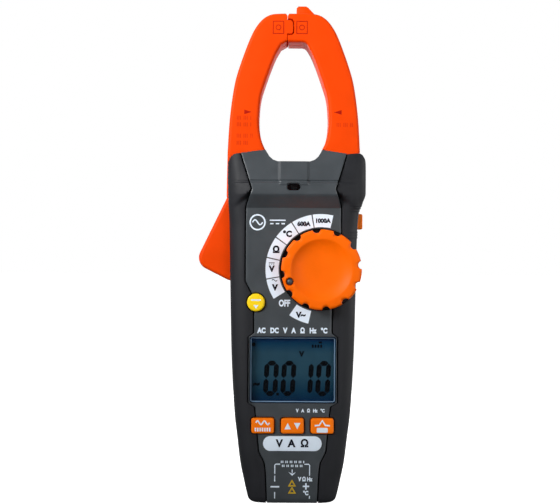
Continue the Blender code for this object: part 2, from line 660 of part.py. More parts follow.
def push_button(name, outline, flange, material, front):
    """A cap that stands out of the face, with a wider flange behind it that keeps it in."""
    cap = bevel(extruded(name, outline, front, INNER_FACE_Y + 1.0, material), 0.6, 2)
    return join(cap, extruded(name + "_flange", flange, INNER_FACE_Y + 0.8, INNER_FACE_Y + 1.6))


def make_buttons():
    width, height = BUTTON_SIZE
    for name, number in (("mode_button", -1), ("range_button", 0), ("peak_button", 1)):
        centre = (number * BUTTON_PITCH, BUTTON_Z)
        cap = rounded_rectangle(centre, width, height, 1.3)
        flange = rounded_rectangle(centre, width + 2.0, height + 2.0, 1.3)
        push_button(name, cap, flange, ORANGE, FACE_Y - BUTTON_HEIGHT)
    circle = arc(ROUND_BUTTON, ROUND_BUTTON_RADIUS, 0, 345, 24)
    wider = arc(ROUND_BUTTON, ROUND_BUTTON_RADIUS + 1.2, 0, 345, 24)
    push_button("relative_button", circle, wider, YELLOW, FACE_Y - ROUND_BUTTON_HEIGHT)
    mat = extruded("keypad_mat", rounded_rectangle((0, BUTTON_Z), 46.0, 9.6, 2.0), -12.75, -11.9, RUBBER)
    for number in (-1, 0, 1):
        start = (number * BUTTON_PITCH, -12.3, BUTTON_Z)
        cut(mat, cylinder(f"mat_dimple_{number + 2}", start, 2.0, 2.0, vertices=12))


def make_side_button():
    deep, high = SIDE_BUTTON_HALF
    inner, outer = SIDE_BUTTON_X
    low, top = SIDE_BUTTON_Z - high, SIDE_BUTTON_Z + high
    side = box("side_button", (inner, -deep, low), (outer, deep, top), ORANGE)
    bevel(side, 0.7)
    join(side, box("side_flange", (29.5, -4.6, SIDE_BUTTON_Z - 4.9), (30.65, 4.6, SIDE_BUTTON_Z + 4.9)))
    switch = box("side_switch", (24.6, -2.6, SIDE_BUTTON_Z - 2.6), (27.6, 2.6, SIDE_BUTTON_Z + 2.6), STEEL)
    join(switch, cylinder("side_plunger", (27.0, 0, SIDE_BUTTON_Z), 1.2, 1.4, axis="X", vertices=12))


# ---------------------------------------------------------------- the works inside

def make_board():
    outline = [
        (-18.5, 27.5), (18.5, 27.5), (18.5, 41.0), (25.0, 45.0), (26.6, 58.0), (28.6, 82.0), (29.4, 148.6),
        (-29.4, 148.6), (-28.6, 82.0), (-26.6, 58.0), (-25.0, 45.0), (-18.5, 41.0),
    ]
    board = extruded("main_board", outline, *BOARD_Y, BOARD_GREEN)
    cut(board, screw_bosses("board_holes", 3.5, -14, -8))


def make_torch():
    lens = rounded_rectangle((0, TORCH_Z), 6.4, 2.8, 1.38)
    extruded("torch_lens", lens, -22.4, -20.6, CLEAR)
    box("torch_lamp", (-1.6, -20.3, TORCH_Z - 1.1), (1.6, -18.4, TORCH_Z + 1.1), WHITE)


def make_sockets():
    width, depth = BLOCK_HALF
    outer, bore = SOCKET_RADII
    base = LOWER_END + SOCKET_DEPTH
    block = box("socket_block", (-width, -depth, LOWER_END), (width, depth, BLOCK_TOP), RUBBER)
    for name, side in (("common_socket", -1), ("input_socket", 1)):
        x = side * SOCKET_PITCH / 2
        cut(block, cylinder(name + "_mouth", (x, 0, LOWER_END - 2), SOCKET_MOUTH, 14.0, axis="Z"))
        cut(block, cylinder(name + "_seat", (x, 0, base - 1), outer + GAP, 25.0, axis="Z"))
        sleeve = cylinder(name, (x, 0, base), outer, BLOCK_TOP + 2 - base, BRASS, axis="Z")
        cut(sleeve, cylinder(name + "_bore", (x, 0, base - 2), bore, 16.0, axis="Z", vertices=16))


def make_cells():
    """Three AAA cells side by side, the middle one upside down."""
    for number in (-1, 0, 1):
        x = number * CELL_PITCH
        start = (x, CELL_Y, CELL_BASE_Z)
        cell = cylinder(f"battery_{number + 2}", start, CELL_RADIUS, CELL_LENGTH - 1.0, CELL_JACKET, axis="Z")
        tip_z = CELL_BASE_Z + CELL_LENGTH - 1.5 if number else CELL_BASE_Z - 0.8
        join(cell, cylinder(f"cell_tip_{number + 2}", (x, CELL_Y, tip_z), 1.9, 1.3, axis="Z", vertices=12))


def make_contacts():
    """The two contact plates: a cone towards each cell's flat end, and flat at its tip."""
    bottom = CELL_BASE_Z - 2.0
    lower = box("battery_contacts_lower", (-16.2, 3.0, bottom), (16.2, 14.0, bottom + 0.6), STEEL)
    for number in (-1, 1):
        start = (number * CELL_PITCH, CELL_Y, CELL_BASE_Z - 1.7)
        cone = cylinder(f"lower_cone_{number}", start, 3.2, 1.4, axis="Z", vertices=12, end_radius=2.0)
        join(lower, cone)
    top = CELL_BASE_Z + CELL_LENGTH
    upper = box("battery_contacts_upper", (-16.2, 3.0, top + 2.5), (16.2, 14.0, top + 3.1), STEEL)
    join(upper, cylinder("upper_cone", (0, CELL_Y, top + 0.9), 2.0, 2.0, axis="Z", vertices=12, end_radius=3.2))


def make_batteries():
    top = CELL_BASE_Z + CELL_LENGTH
    tray = box("battery_tray", (-17.8, 1.2, CELL_BASE_Z - 3.6), (17.8, 15.2, top + 4.6), RUBBER)
    cut(tray, box("tray_room", (-16.7, 2.3, CELL_BASE_Z - 2.4), (16.7, 20, top + 3.4)))
    make_cells()
    make_contacts()
    low, high = COVER_Z
    outline = rounded_rectangle((0, (low + high) / 2), 2 * COVER_HALF_WIDTH - 0.7, high - low - 0.7, 2.7)
    cover = extruded("battery_cover", outline, 16.2, 19.0, GREY)
    cut(cover, cylinder("cover_head_hole", (0, 17.4, high - COVER_SCREW_DROP), 3.1, 5))
    cut(cover, cylinder("cover_shank_hole", (0, 10, high - COVER_SCREW_DROP), 1.8, 10, vertices=16))


def make_screw(name, x, z, head_y, length):
    """A pan-head screw driven from behind, with a cross recess."""
    head = cylinder(name, (x, head_y, z), 2.7, 1.8, STEEL, vertices=16)
    join(head, cylinder(name + "_shank", (x, head_y - length, z), 1.4, length + 0.5, vertices=10))
    for turn, across, up in (("a", 1.5, 0.35), ("b", 0.35, 1.5)):
        low, high = (x - across, head_y + 0.9, z - up), (x + across, head_y + 4, z + up)
        cut(head, box(f"{name}_slot_{turn}", low, high))
    return head


def make_fasteners():
    for number, (x, z) in enumerate(SCREW_PLACES, start=1):
        make_screw(f"case_screw_{number}", x, z, 12.9, 22.0)
    make_screw("battery_cover_screw", 0, COVER_Z[1] - COVER_SCREW_DROP, 17.6, 6.0)
    pin = cylinder("jaw_pivot_pin", (PIVOT[0], -14.2, PIVOT[1]), PIN_RADIUS, 28.4, STEEL, vertices=20)
    set_origin(pin, (PIVOT[0], 0, PIVOT[1]))


def make_return_spring():
    """A torsion spring round the rear pivot post, with one leg to each side."""
    radius, turns, wire = 5.8, 1.5, 0.35
    points = []
    for step in range(int(turns * 16) + 1):
        angle = math.radians(200 + 22.5 * step)
        depth = 11.7 + (2 * wire + 0.12) * step / 16
        points.append((PIVOT[0] + radius * math.cos(angle), depth, PIVOT[1] + radius * math.sin(angle)))
    first, last = points[0], points[-1]
    points.insert(0, (first[0] - 5.0, first[1], first[2] - 9.0))
    points.append((last[0] + 9.0, last[1], last[2] - 5.0))
    curve = bpy.data.curves.new("jaw_return_spring", "CURVE")
    curve.dimensions = "3D"
    curve.bevel_depth = wire * MM
    curve.bevel_resolution = 1
    curve.use_fill_caps = True
    curve.materials.append(STEEL)
    spline = curve.splines.new("POLY")
    spline.points.add(len(points) - 1)
    for point, place in zip(spline.points, points):
        point.co = (*[value * MM for value in place], 1)
    PARTS.objects.link(bpy.data.objects.new("jaw_return_spring", curve))


def make_small_parts():
    half, low, high = LABEL
    pill = rounded_rectangle((0, (low + high) / 2), 2 * half, high - low, (high - low) / 2 - 0.01, 6)
    extruded("name_plate", pill, FACE_Y - 0.55, FACE_Y - 0.3, WHITE)
    cylinder("buzzer", (15.0, -9.7, 100.0), 6.0, 4.0, RUBBER)
    box("sensor_board", (14.0, -6.0, 153.6), (24.0, 6.0, 154.8), BOARD_GREEN)
    box("hall_sensor", (17.0, -2.0, 155.1), (21.0, 2.0, 156.9), RUBBER)
    box("measuring_chip", (-6.0, -9.7, 60.0), (6.0, -8.2, 72.0), RUBBER)
    x, z = KNOB
    spring = box("detent_spring", (x - 7.0, -9.7, z + 14.5), (x + 7.0, -8.9, z + 17.5), STEEL)
    join(spring, cylinder("detent_nose", (x, -9.3, z + 15.0), 1.5, 1.2, vertices=12))


make_front_cover()
make_rear_cover()
make_grip("front_grip_left", FRONT_PANEL, True, True)
make_grip("front_grip_right", FRONT_PANEL, True, False)
make_grip("rear_grip_left", REAR_PANEL, False, True)
make_grip("rear_grip_right", REAR_PANEL, False, False)
make_fixed_jaw()
make_moving_jaw()
make_selector()
make_display()
make_buttons()
make_side_button()
make_board()
make_torch()
make_sockets()
make_batteries()
make_fasteners()
make_return_spring()
make_small_parts()
for piece in bpy.data.objects:
    piece.location.z -= LOWER_END * MM
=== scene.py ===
"""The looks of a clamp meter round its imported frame.

All is drawn in millimetres and turned into metres by MM where a mesh is made. +Z is up, the display looks
along -Y, and the origin is the middle of the flat lower end. Heights are drawn from a line LOWER_END below
that end, and lowered by it where a mesh is made.
"""

import json
import math

import bmesh
import bpy
import numpy as np
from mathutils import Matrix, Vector

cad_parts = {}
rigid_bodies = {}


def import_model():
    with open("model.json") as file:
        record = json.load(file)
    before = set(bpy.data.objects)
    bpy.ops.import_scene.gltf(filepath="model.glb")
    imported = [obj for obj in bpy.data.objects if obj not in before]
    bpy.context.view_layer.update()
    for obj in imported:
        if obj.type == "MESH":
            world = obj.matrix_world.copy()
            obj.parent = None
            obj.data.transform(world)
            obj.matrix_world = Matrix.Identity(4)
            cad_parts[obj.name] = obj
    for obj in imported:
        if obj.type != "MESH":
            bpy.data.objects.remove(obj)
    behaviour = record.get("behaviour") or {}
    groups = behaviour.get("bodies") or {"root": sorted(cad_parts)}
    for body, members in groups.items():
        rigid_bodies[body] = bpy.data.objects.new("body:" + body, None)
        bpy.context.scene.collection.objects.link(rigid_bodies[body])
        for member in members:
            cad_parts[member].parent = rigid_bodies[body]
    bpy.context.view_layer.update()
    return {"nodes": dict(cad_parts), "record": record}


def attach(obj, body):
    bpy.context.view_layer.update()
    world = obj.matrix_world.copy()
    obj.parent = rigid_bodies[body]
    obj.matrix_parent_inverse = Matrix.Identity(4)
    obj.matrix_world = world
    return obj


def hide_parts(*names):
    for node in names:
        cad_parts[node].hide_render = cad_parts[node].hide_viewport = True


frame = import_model()

MM = 0.001
LOWER_END = 3.5
SCENE = bpy.context.scene

# ---------------- camera

CAMERA_PLACE = (-0.00709, -0.620, 0.13286)
CAMERA_LENS = 73.2
CAMERA_ROLL = math.radians(-0.332)

camera = bpy.data.objects.new("camera", bpy.data.cameras.new("camera"))
SCENE.collection.objects.link(camera)
camera.data.lens = CAMERA_LENS
camera.data.sensor_width = 36.0
camera.location = CAMERA_PLACE
camera.rotation_euler = (math.radians(90), CAMERA_ROLL, 0)
SCENE.camera = camera
SCENE.view_settings.view_transform = "Standard"

# ---------------- the object's sizes

# Body: height, half-width left and right, and how far the front and rear faces stand from the middle.
BODY_SECTIONS = [
    (LOWER_END, 20.9, 20.9, 17.0, 16.4),
    (4.5, 22.6, 22.6, 17.7, 17.2),
    (7.0, 23.8, 23.8, 18.4, 18.2),
    (16.0, 26.1, 26.1, 18.9, 18.9),
    (25.0, 27.9, 27.9, 19.0, 19.0),
    (38.0, 29.5, 29.5, 19.0, 19.0),
    (52.0, 31.1, 31.1, 19.0, 19.0),
    (80.0, 32.7, 32.7, 19.0, 19.0),
    (112.0, 33.5, 33.5, 19.0, 19.0),
    (145.0, 34.1, 34.1, 19.0, 19.0),
    (157.0, 34.4, 34.9, 19.0, 19.0),
    (160.5, 34.6, 36.0, 19.0, 19.0),
    (163.0, 34.8, 37.0, 18.9, 18.9),
    (166.5, 34.9, 38.3, 18.6, 18.6),
    (170.0, 35.0, 38.5, 18.2, 18.2),
    (182.0, 35.3, 38.6, 16.2, 16.2),
    (186.0, 35.4, 38.3, 15.2, 15.2),
    (188.6, 35.4, 37.0, 14.6, 14.6),
    (192.0, 35.5, 35.6, 13.8, 13.8),
]
CORNER_HEIGHTS = (LOWER_END, 16.0, 150.0, 168.0)
FRONT_CORNER = ((8.0, 10.0, 10.0, 6.6), (4.5, 9.0, 9.0, 6.0))  # across and deep, at those heights
REAR_CORNER = ((6.5, 8.0, 8.0, 6.6), (4.5, 7.0, 7.0, 6.0))
WALL = 3.4
CORE_DROP = 1.5
CORE_TOP = 191.0
PANEL_TOP = 191.5
CAVITY_TOP = 180.0
PANEL_THICKNESS = 1.7
GRIP_THICKNESS = 1.4
GRIP_STEPS = 14
SEAM = 0.62
RIM = 0.55

# The front grips' swelling beside the hand guard, and the fine ribs on the right edge.
CHEEK_Z = 160.0
CHEEK_RISE = 3.0
SCOOP_Z = 167.6
RIB_Z = (143.6, 158.2)
RIB_ROW = 4.2
RIB_PITCH = 1.4
RIB_HEIGHT = 0.28

# Half-outlines in X and Z, drawn up the +X side.
FRONT_PANEL = [
    (12.9, -5.0), (13.8, 19.0), (14.5, 24.9), (17.5, 30.8), (19.1, 49.0), (19.9, 55.3), (23.3, 55.9),
    (23.3, 92.1), (20.5, 92.7), (20.5, 112.0), (25.1, 120.9), (25.1, 160.0), (21.9, 169.5), (31.6, 200.0),
]
REAR_PANEL = [(15.4, -5.0), (24.4, 24.0), (27.2, 40.0), (27.8, 100.0), (27.8, 200.0)]
HOUSING_TOP_RIGHT = [
    (8.5, 184.4), (11.0, 185.3), (12.9, 187.0), (15.2, 190.8), (29.0, 188.6), (35.4, 189.2), (37.0, 188.4),
    (60.0, 188.4), (60.0, 205.0),
]
HOUSING_TOP_LEFT = [
    (-60.0, 205.0), (-60.0, 181.0), (-35.6, 181.0), (-35.1, 184.2), (-34.0, 186.6), (-32.2, 188.2),
    (-29.8, 188.7), (-15.2, 190.8), (-12.9, 187.0), (-11.0, 185.3), (-8.5, 184.4),
]

# The hand guard across the front: height and how far its face stands out.
GUARD = [
    (156.0, 14.6), (159.6, 19.0), (165.0, 22.9), (166.0, 23.6), (166.8, 23.98), (167.6, 24.0), (172.3, 23.7),
    (172.8, 23.3), (173.2, 22.3), (173.8, 21.95), (174.4, 22.25), (191.5, 14.2), (195.0, 12.5),
]
# The raised middle of the guard: half-width, width of its flanks, and its height over the guard.
BOSS_HALF = 6.9
BOSS_FLANK = 1.4
BOSS_COLUMNS = (6.6, 6.9, 7.1, 7.4, 7.8, 8.1, 8.3)  # where the panel's columns stand closer
BOSS_LIFT = [(171.2, 0.0), (172.6, 0.5), (174.0, 1.1), (177.0, 0.75), (191.0, 0.65)]

# Jaws, drawn down the +X side from the top.
JAW_HALF_DEPTH = 11.0
JAW_EDGE = 1.8
JAW_PLAY = 0.35
JAW_OUTER = [
    (7.0, 264.2), (12.6, 263.6), (17.0, 261.1), (20.9, 256.3), (24.4, 249.1), (29.4, 235.3), (32.2, 224.6),
    (34.4, 208.0), (35.5, 190.0),
]
JAW_WINDOW = [
    (4.6, 248.8), (7.0, 247.4), (10.6, 240.6), (15.5, 227.2), (18.0, 218.0), (18.75, 206.0), (17.6, 197.0),
    (15.2, 190.8),
]
JAW_TOP = 264.2
WINDOW_TOP = 248.8
HOOK = [(1.2, 262.0), (1.2, 268.4), (2.2, 269.4), (6.3, 269.4), (7.4, 268.8), (12.4, 263.6), (12.4, 262.0)]
HOOK_LEVELS = [(0.1, 0), (3.3, 0), (3.8, 0.25), (4.0, 0.7)]
SPLIT_X = -3.7
SPLIT_GAP = 0.2
SPLIT_FLARE = 0.28
REAR_SHIFT = 0.7  # the rear halves part further to the right, so the gap can't be seen through
TONGUE = [(-1.7, 253.1), (-0.6, 254.1), (-0.6, 259.3), (-1.7, 260.5)]
TONGUE_ROOT = (253.0, 260.8)
TONGUE_PLAY = 0.42
PIVOT = (-8.0, 172.0)
PIVOT_DISC = 11.0
PIN_HOLE_RADIUS = 3.3
TRIGGER_HALF_DEPTH = 8.0
TRIGGER_PLAY = 0.6
TRIGGER_TIP = (-44.3, 133.15)
TRIGGER_TIP_RADIUS = 6.5
TRIGGER_EDGE = 1.9

# Controls on the front face
FACE_Y = -19.0
KNOB = (14.6, 127.2)
KNOB_RADIUS = 21.1
KNOB_FRONT_Y = -28.0
KNOB_BACK_Y = -19.6
KNOB_DISH = (16.0, 3.0)
KNOB_NOTCHES = 12
NOTCH_DEPTH = 1.75
NOTCH_HALF_ANGLE = 5.6
POINTER_ANGLE = 200.8
POINTER_RADIUS = 17.6
POINTER_DOT = 1.7
DISPLAY = (22.7, 56.7, 91.3)
BUTTON_Z = 44.7
BUTTON_PITCH = 15.7
BUTTON_SIZE = (12.1, 8.1)
BUTTON_PLAY = 0.4
BUTTON_TOP = FACE_Y - 1.35
BUTTON_FOOT = -15.6
ROUND_BUTTON = (-19.6, 109.7)
ROUND_BUTTON_RADIUS = 4.7
ROUND_BUTTON_TOP = FACE_Y - 1.55
SIDE_BUTTON_Z = 153.0
SIDE_BUTTON_SIZE = (7.8, 8.4)
LABEL = (15.5, 31.4, 39.2)
LABEL_TOP = 19.55
SOCKET_BLOCK = (17.5, 10.7, 8)
TORCH_Z = 170.5
COVER_HALF_WIDTH = 18.2
COVER_Z = (24.0, 92.0)
SCREW_PLACES = [(-22.0, 36.0), (22.0, 36.0), (-24.0, 101.0), (24.0, 101.0)]
SCREW_HEAD_HOLE = 3.0
CELL_DEPTH = 14.8
PRINT_LIFT = 0.04
BEYOND = 60  # a length past every side of the object, for cutters


# ---------------- outlines

def limited(value):
    """The value, kept between 0 and 1."""
    return min(max(value, 0), 1)


def smooth(points, steps=6):
    """A Catmull-Rom curve through points of any number of values."""
    ends = [points[0]] + list(points) + [points[-1]]
    curve = []
    for near in zip(ends, ends[1:], ends[2:], ends[3:]):
        for step in range(steps):
            t = step / steps
            weights = (
                -0.5 * t + t * t - 0.5 * t ** 3,
                1 - 2.5 * t * t + 1.5 * t ** 3,
                0.5 * t + 2 * t * t - 1.5 * t ** 3,
                -0.5 * t * t + 0.5 * t ** 3,
            )
            curve.append(tuple(sum(w * p[i] for w, p in zip(weights, near)) for i in range(len(near[0]))))
    return curve + [tuple(points[-1])]


def polar(centre, radius, degrees):
    angle = math.radians(degrees)
    return (centre[0] + radius * math.cos(angle), centre[1] + radius * math.sin(angle))


def arc(centre, radius, start, end, count):
    return [polar(centre, radius, start + (end - start) * i / (count - 1)) for i in range(count)]


def circle(centre, radius, count=48):
    return arc(centre, radius, 0, 360 - 360 / count, count)


def rounded_rectangle(centre, width, height, radius, count=8):
    x, z = width / 2 - radius, height / 2 - radius
    outline = []
    for dx, dz, start in [(x, -z, -90), (x, z, 0), (-x, z, 90), (-x, -z, 180)]:
        outline += arc((centre[0] + dx, centre[1] + dz), radius, start, start + 90, count)
    return outline


def inset(outline, distance):
    """The outline moved inwards by a distance, each corner along its mitre."""
    if not distance:
        return list(outline)
    area = sum(a[0] * b[1] - b[0] * a[1] for a, b in zip(outline, outline[1:] + outline[:1]))
    turn = 1 if area > 0 else -1
    moved = []
    for before, here, after in zip(outline[-1:] + outline[:-1], outline, outline[1:] + outline[:1]):
        first = (Vector(here) - Vector(before)).normalized()
        second = (Vector(after) - Vector(here)).normalized()
        normals = [Vector((-d.y, d.x)) * turn for d in (first, second)]
        mitre = (normals[0] + normals[1]).normalized()
        reach = distance / max(mitre.dot(normals[0]), 0.4)
        moved.append((here[0] + mitre.x * reach, here[1] + mitre.y * reach))
    return moved


# ---------------- meshes

TOOLS = bpy.data.collections.new("tools")
SCENE.collection.children.link(TOOLS)


def tool_object(name, data):
    obj = bpy.data.objects.new(name, data)
    TOOLS.objects.link(obj)
    return obj


def evaluated_mesh(obj):
    """A new mesh of the object as its modifiers or its text make it."""
    return bpy.data.meshes.new_from_object(obj.evaluated_get(bpy.context.evaluated_depsgraph_get()))


def placed(x, y, z):
    """A point drawn in millimetres, in metres above the lower end."""
    return (x * MM, y * MM, (z - LOWER_END) * MM)


def new_object(name, points, faces):
    """A mesh object from points in millimetres, doubled points merged and faces turned outwards."""
    mesh = bpy.data.meshes.new(name)
    mesh.from_pydata([placed(*point) for point in points], [], faces)
    shape = bmesh.new()
    shape.from_mesh(mesh)
    bmesh.ops.remove_doubles(shape, verts=shape.verts, dist=2e-6)
    bmesh.ops.recalc_face_normals(shape, faces=shape.faces)
    shape.to_mesh(mesh)
    shape.free()
    return tool_object(name, mesh)


def band_faces(low, high, count):
    """The faces between two closed rings, from the number of each ring's first point."""
    return [(low + i, low + (i + 1) % count, high + (i + 1) % count, high + i) for i in range(count)]


def loft(name, rings, closed=False):
    """A body through rings of points: its ends filled, or its last ring joined to its first."""
    count = len(rings[0])
    points = [point for ring in rings for point in ring]
    rows = len(rings)
    faces = []
    for row in range(rows if closed else rows - 1):
        faces += band_faces(row * count, (row + 1) % rows * count, count)
    if not closed:
        faces += [tuple(reversed(range(count))), tuple(range(len(points) - count, len(points)))]
    return new_object(name, points, faces)


PLACES = {
    "X": lambda u, v, w: (w, u, v),
    "Y": lambda u, v, w: (u, w, v),
}


def stacked(name, outline, levels, axis="Y"):
    """An outline stacked at levels along an axis, each a (level, inset)."""
    place = PLACES[axis]
    return loft(name, [[place(u, v, level) for u, v in inset(outline, drop)] for level, drop in levels])


def prism(name, outline, low, high, axis="Y"):
    """An outline drawn out along an axis."""
    return stacked(name, outline, [(low, 0), (high, 0)], axis)


def box(name, low, high):
    corners = [(low[0], low[2]), (high[0], low[2]), (high[0], high[2]), (low[0], high[2])]
    return prism(name, corners, low[1], high[1])


def frame_bar(name, outer, inner, low, high):
    """A flat frame between two outlines of as many points."""
    rings = []
    for a, b in zip(outer, inner):
        rings.append([(a[0], low, a[1]), (a[0], high, a[1]), (b[0], high, b[1]), (b[0], low, b[1])])
    return loft(name, rings, True)


def turned(name, profile, centre, steps=64, shape_of=None):
    """A profile of (radius, y) from the middle of the front to the middle of the back, turned about Y."""
    rings = []
    for radius, y in profile:
        ring = []
        for step in range(steps):
            angle = 2 * math.pi * step / steps
            reach = shape_of(radius, angle) if shape_of else radius
            ring.append((centre[0] + reach * math.cos(angle), y, centre[1] + reach * math.sin(angle)))
        rings.append(ring)
    return loft(name, rings)


def combine(obj, operation, *tools):
    """A boolean of the object with each tool in turn."""
    for tool in tools:
        modifier = obj.modifiers.new(tool.name, "BOOLEAN")
        modifier.operation = operation
        modifier.object = tool
        modifier.solver = "EXACT"
    bpy.context.view_layer.update()
    mesh = evaluated_mesh(obj)
    obj.modifiers.clear()
    obj.data = mesh
    return obj


def cut(obj, *tools):
    return combine(obj, "DIFFERENCE", *tools)


def join(obj, *tools):
    return combine(obj, "UNION", *tools)


def piece(obj, material, body="housing", nodes=(), sharp=32):
    """Makes an object a visible piece, with its material, shading, body and the nodes it stands for."""
    slot = next(name for name, finishes in SLOT_FINISHES.items() if material in finishes)
    obj.data.materials.clear()
    obj.data.materials.append(material)
    for polygon in obj.data.polygons:
        polygon.material_index = 0
    obj.data.shade_smooth()
    obj.data.set_sharp_from_angle(angle=math.radians(sharp))
    TOOLS.objects.unlink(obj)
    SCENE.collection.objects.link(obj)
    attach(obj, body)
    if nodes:
        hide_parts(*nodes)
    return obj


# ---------------- materials

def srgb(red, green, blue):
    """A display colour, 0 to 255, as the linear values that a shader takes."""
    def linear(value):
        value /= 255
        return value / 12.92 if value <= 0.04045 else ((value + 0.055) / 1.055) ** 2.4
    return tuple(linear(value) for value in (red, green, blue))


def set_inputs(node, **inputs):
    """Sets inputs of a node: another node's output is linked, and anything else is the value."""
    for name, value in inputs.items():
        socket = node.inputs[name.replace("_", " ")]
        if isinstance(value, bpy.types.NodeSocket):
            node.id_data.links.new(value, socket)
        else:
            socket.default_value = value


def add_node(tree, kind, **inputs):
    node = tree.nodes.new(kind)
    set_inputs(node, **inputs)
    return node


def noise(tree, size, detail=2.0):
    """Noise with features of a size in millimetres, fixed to the object."""
    place = add_node(tree, "ShaderNodeTexCoord").outputs["Object"]
    texture = add_node(tree, "ShaderNodeTexNoise", Vector=place, Scale=1 / (size * MM), Detail=detail)
    return texture.outputs["Fac"]


def mapped(tree, source, low, high, start=0.3, end=0.7):
    """A value from one range, at first that of noise, spread over another."""
    spread = add_node(
        tree, "ShaderNodeMapRange", Value=source, From_Min=start, From_Max=end, To_Min=low, To_Max=high
    )
    return spread.outputs["Result"]


def colour_ramp(tree, source, stops):
    """A value turned into colours, each stop a (place, colour)."""
    ramp = add_node(tree, "ShaderNodeValToRGB", Fac=source)
    while len(ramp.color_ramp.elements) < len(stops):
        ramp.color_ramp.elements.new(0.5)
    for stop, (place, colour) in zip(ramp.color_ramp.elements, stops):
        stop.position = place
        stop.color = (*colour, 1)
    return ramp.outputs["Color"]


def mottled(tree, source, colour, amount):
    """A colour made a little darker and lighter by a noise value."""
    stops = []
    for place, scale in ((0.3, 1 - amount), (0.7, 1 + amount)):
        stops.append((place, [value * scale for value in colour]))
    return colour_ramp(tree, source, stops)


def moulded(name, colour, roughness, grain=0.3, bump=0.02, mottle=0.06, metallic=0.0, specular=0.5):
    """A moulded or cast finish: fine grain in the bump, faint mottling in the colour, and uneven gloss."""
    material = bpy.data.materials.new(name)
    material.use_nodes = True
    tree = material.node_tree
    broad = noise(tree, 9.0, 4.0)
    relief = add_node(tree, "ShaderNodeBump", Strength=0.6, Distance=bump * MM, Height=noise(tree, grain))
    set_inputs(
        tree.nodes["Principled BSDF"], Metallic=metallic, Specular_IOR_Level=specular,
        Base_Color=mottled(tree, broad, colour, mottle), Normal=relief.outputs["Normal"],
        Roughness=mapped(tree, broad, roughness - 0.05, roughness + 0.05),
    )
    return material


def lcd_finish(name, stops):
    """The display cell: bands of blue up its height, darker at its lower and upper edges as painted shade
    from the frame round it, with faint unevenness.
    """
    material = moulded(name, stops[0][1], 0.4, grain=0.5, bump=0.002, specular=0.04)
    tree = material.node_tree
    place = add_node(tree, "ShaderNodeTexCoord").outputs["Object"]
    split = add_node(tree, "ShaderNodeSeparateXYZ", Vector=place)
    low, high = [(height - LOWER_END) * MM for height in DISPLAY[1:]]
    blend = add_node(tree, "ShaderNodeMix")
    blend.data_type = "RGBA"
    blend.blend_type = "MULTIPLY"
    bands = colour_ramp(tree, mapped(tree, split.outputs["Z"], 0, 1, low, high), stops)
    set_inputs(blend, Factor=1.0, A=bands, B=mottled(tree, noise(tree, 5.0), (1, 1, 1), 0.05))
    set_inputs(tree.nodes["Principled BSDF"], Base_Color=blend.outputs["Result"])
    return material


def clear_finish(name, colour, alpha):
    """A see-through finish that shows only its reflections and a little of its colour."""
    material = moulded(name, colour, 0.12, grain=0.6, bump=0.001, mottle=0.03, metallic=1.0)
    set_inputs(material.node_tree.nodes["Principled BSDF"], Alpha=alpha)
    return material



SATIN = {"grain": 0.25, "bump": 0.012, "mottle": 0.04}
PRINT = {"grain": 0.2, "bump": 0.004}

ORANGE = moulded("orange_plastic", srgb(236, 68, 0), 0.5, specular=0.07, **SATIN)
KNOB_ORANGE = moulded("knob_plastic", srgb(250, 104, 0), 0.45, specular=0.1, **SATIN)
CAP_ORANGE = moulded("button_plastic", srgb(255, 122, 8), 0.42, specular=0.14, **SATIN)
# Dark orange for the engraved marks on the jaws: painted shade of their grooves, as the marks are drawn flat
# on the face.
ENGRAVING_SHADE = moulded("engraving_painted_shade", srgb(168, 18, 0), 0.6, mottle=0.1, specular=0.1)
# A darker orange for the raised bars on the jaws: painted shade along their edges.
EMBOSSING_SHADE = moulded("embossing_painted_shade", srgb(214, 52, 0), 0.6, mottle=0.1, specular=0.1)
GREY = moulded("grey_plastic", srgb(62, 67, 71), 0.38, grain=0.28, bump=0.03, mottle=0.08)
RUBBER = moulded("grip_rubber", srgb(32, 33, 37), 0.6, grain=0.35, bump=0.045, mottle=0.1, specular=0.26)
BLACK = moulded("black_plastic", srgb(12, 12, 13), 0.6, mottle=0.15, specular=0.2)
YELLOW = moulded("yellow_plastic", srgb(255, 216, 24), 0.4, mottle=0.04, specular=0.25)
PALE_PRINT = moulded("pale_print", srgb(225, 237, 249), 0.55, mottle=0.03, specular=0.2, **PRINT)
DARK_PRINT = moulded("dark_print", srgb(28, 30, 42), 0.55, mottle=0.08, specular=0.15, **PRINT)
YELLOW_PRINT = moulded("yellow_print", srgb(206, 168, 34), 0.55, mottle=0.05, specular=0.2, **PRINT)
SEGMENT = moulded("display_segment", srgb(3, 5, 9), 0.5, grain=0.4, bump=0.001, mottle=0.1, specular=0.02)
# The cell's blue is darker towards its lower and upper edges: painted shade of the frame's depth over the
# cell.
LCD = lcd_finish("display_cell_painted_shade", [
    (0.0, srgb(2, 32, 62)), (0.15, srgb(8, 46, 68)), (0.45, srgb(36, 68, 84)), (0.75, srgb(36, 66, 82)),
    (0.9, srgb(8, 50, 76)), (1.0, srgb(4, 40, 92)),
])
WINDOW = clear_finish("clear_plastic", (0.75, 0.82, 0.9), 0.008)
# The torch lens gets a dark tint: painted shade inside the torch hole.
SHADED_LENS = clear_finish("lens_painted_shade", (0.03, 0.02, 0.022), 0.65)
FRAME_LINE = moulded("pale_frame", srgb(120, 150, 180), 0.4, mottle=0.05)
WHITE = moulded("white_plastic", (0.75, 0.78, 0.8), 0.5)
BOARD = moulded("board_laminate", (0.02, 0.14, 0.06), 0.45, grain=1.2, mottle=0.2)
BRASS = moulded("brass", (0.75, 0.55, 0.22), 0.3, grain=0.1, bump=0.004, metallic=1.0)
STEEL = moulded("steel", (0.6, 0.6, 0.62), 0.32, grain=0.1, bump=0.006, metallic=1.0)
IRON = moulded("core_iron", (0.25, 0.25, 0.27), 0.45, grain=0.2, bump=0.01, metallic=1.0)
JACKET = moulded("cell_jacket", (0.05, 0.12, 0.3), 0.4)

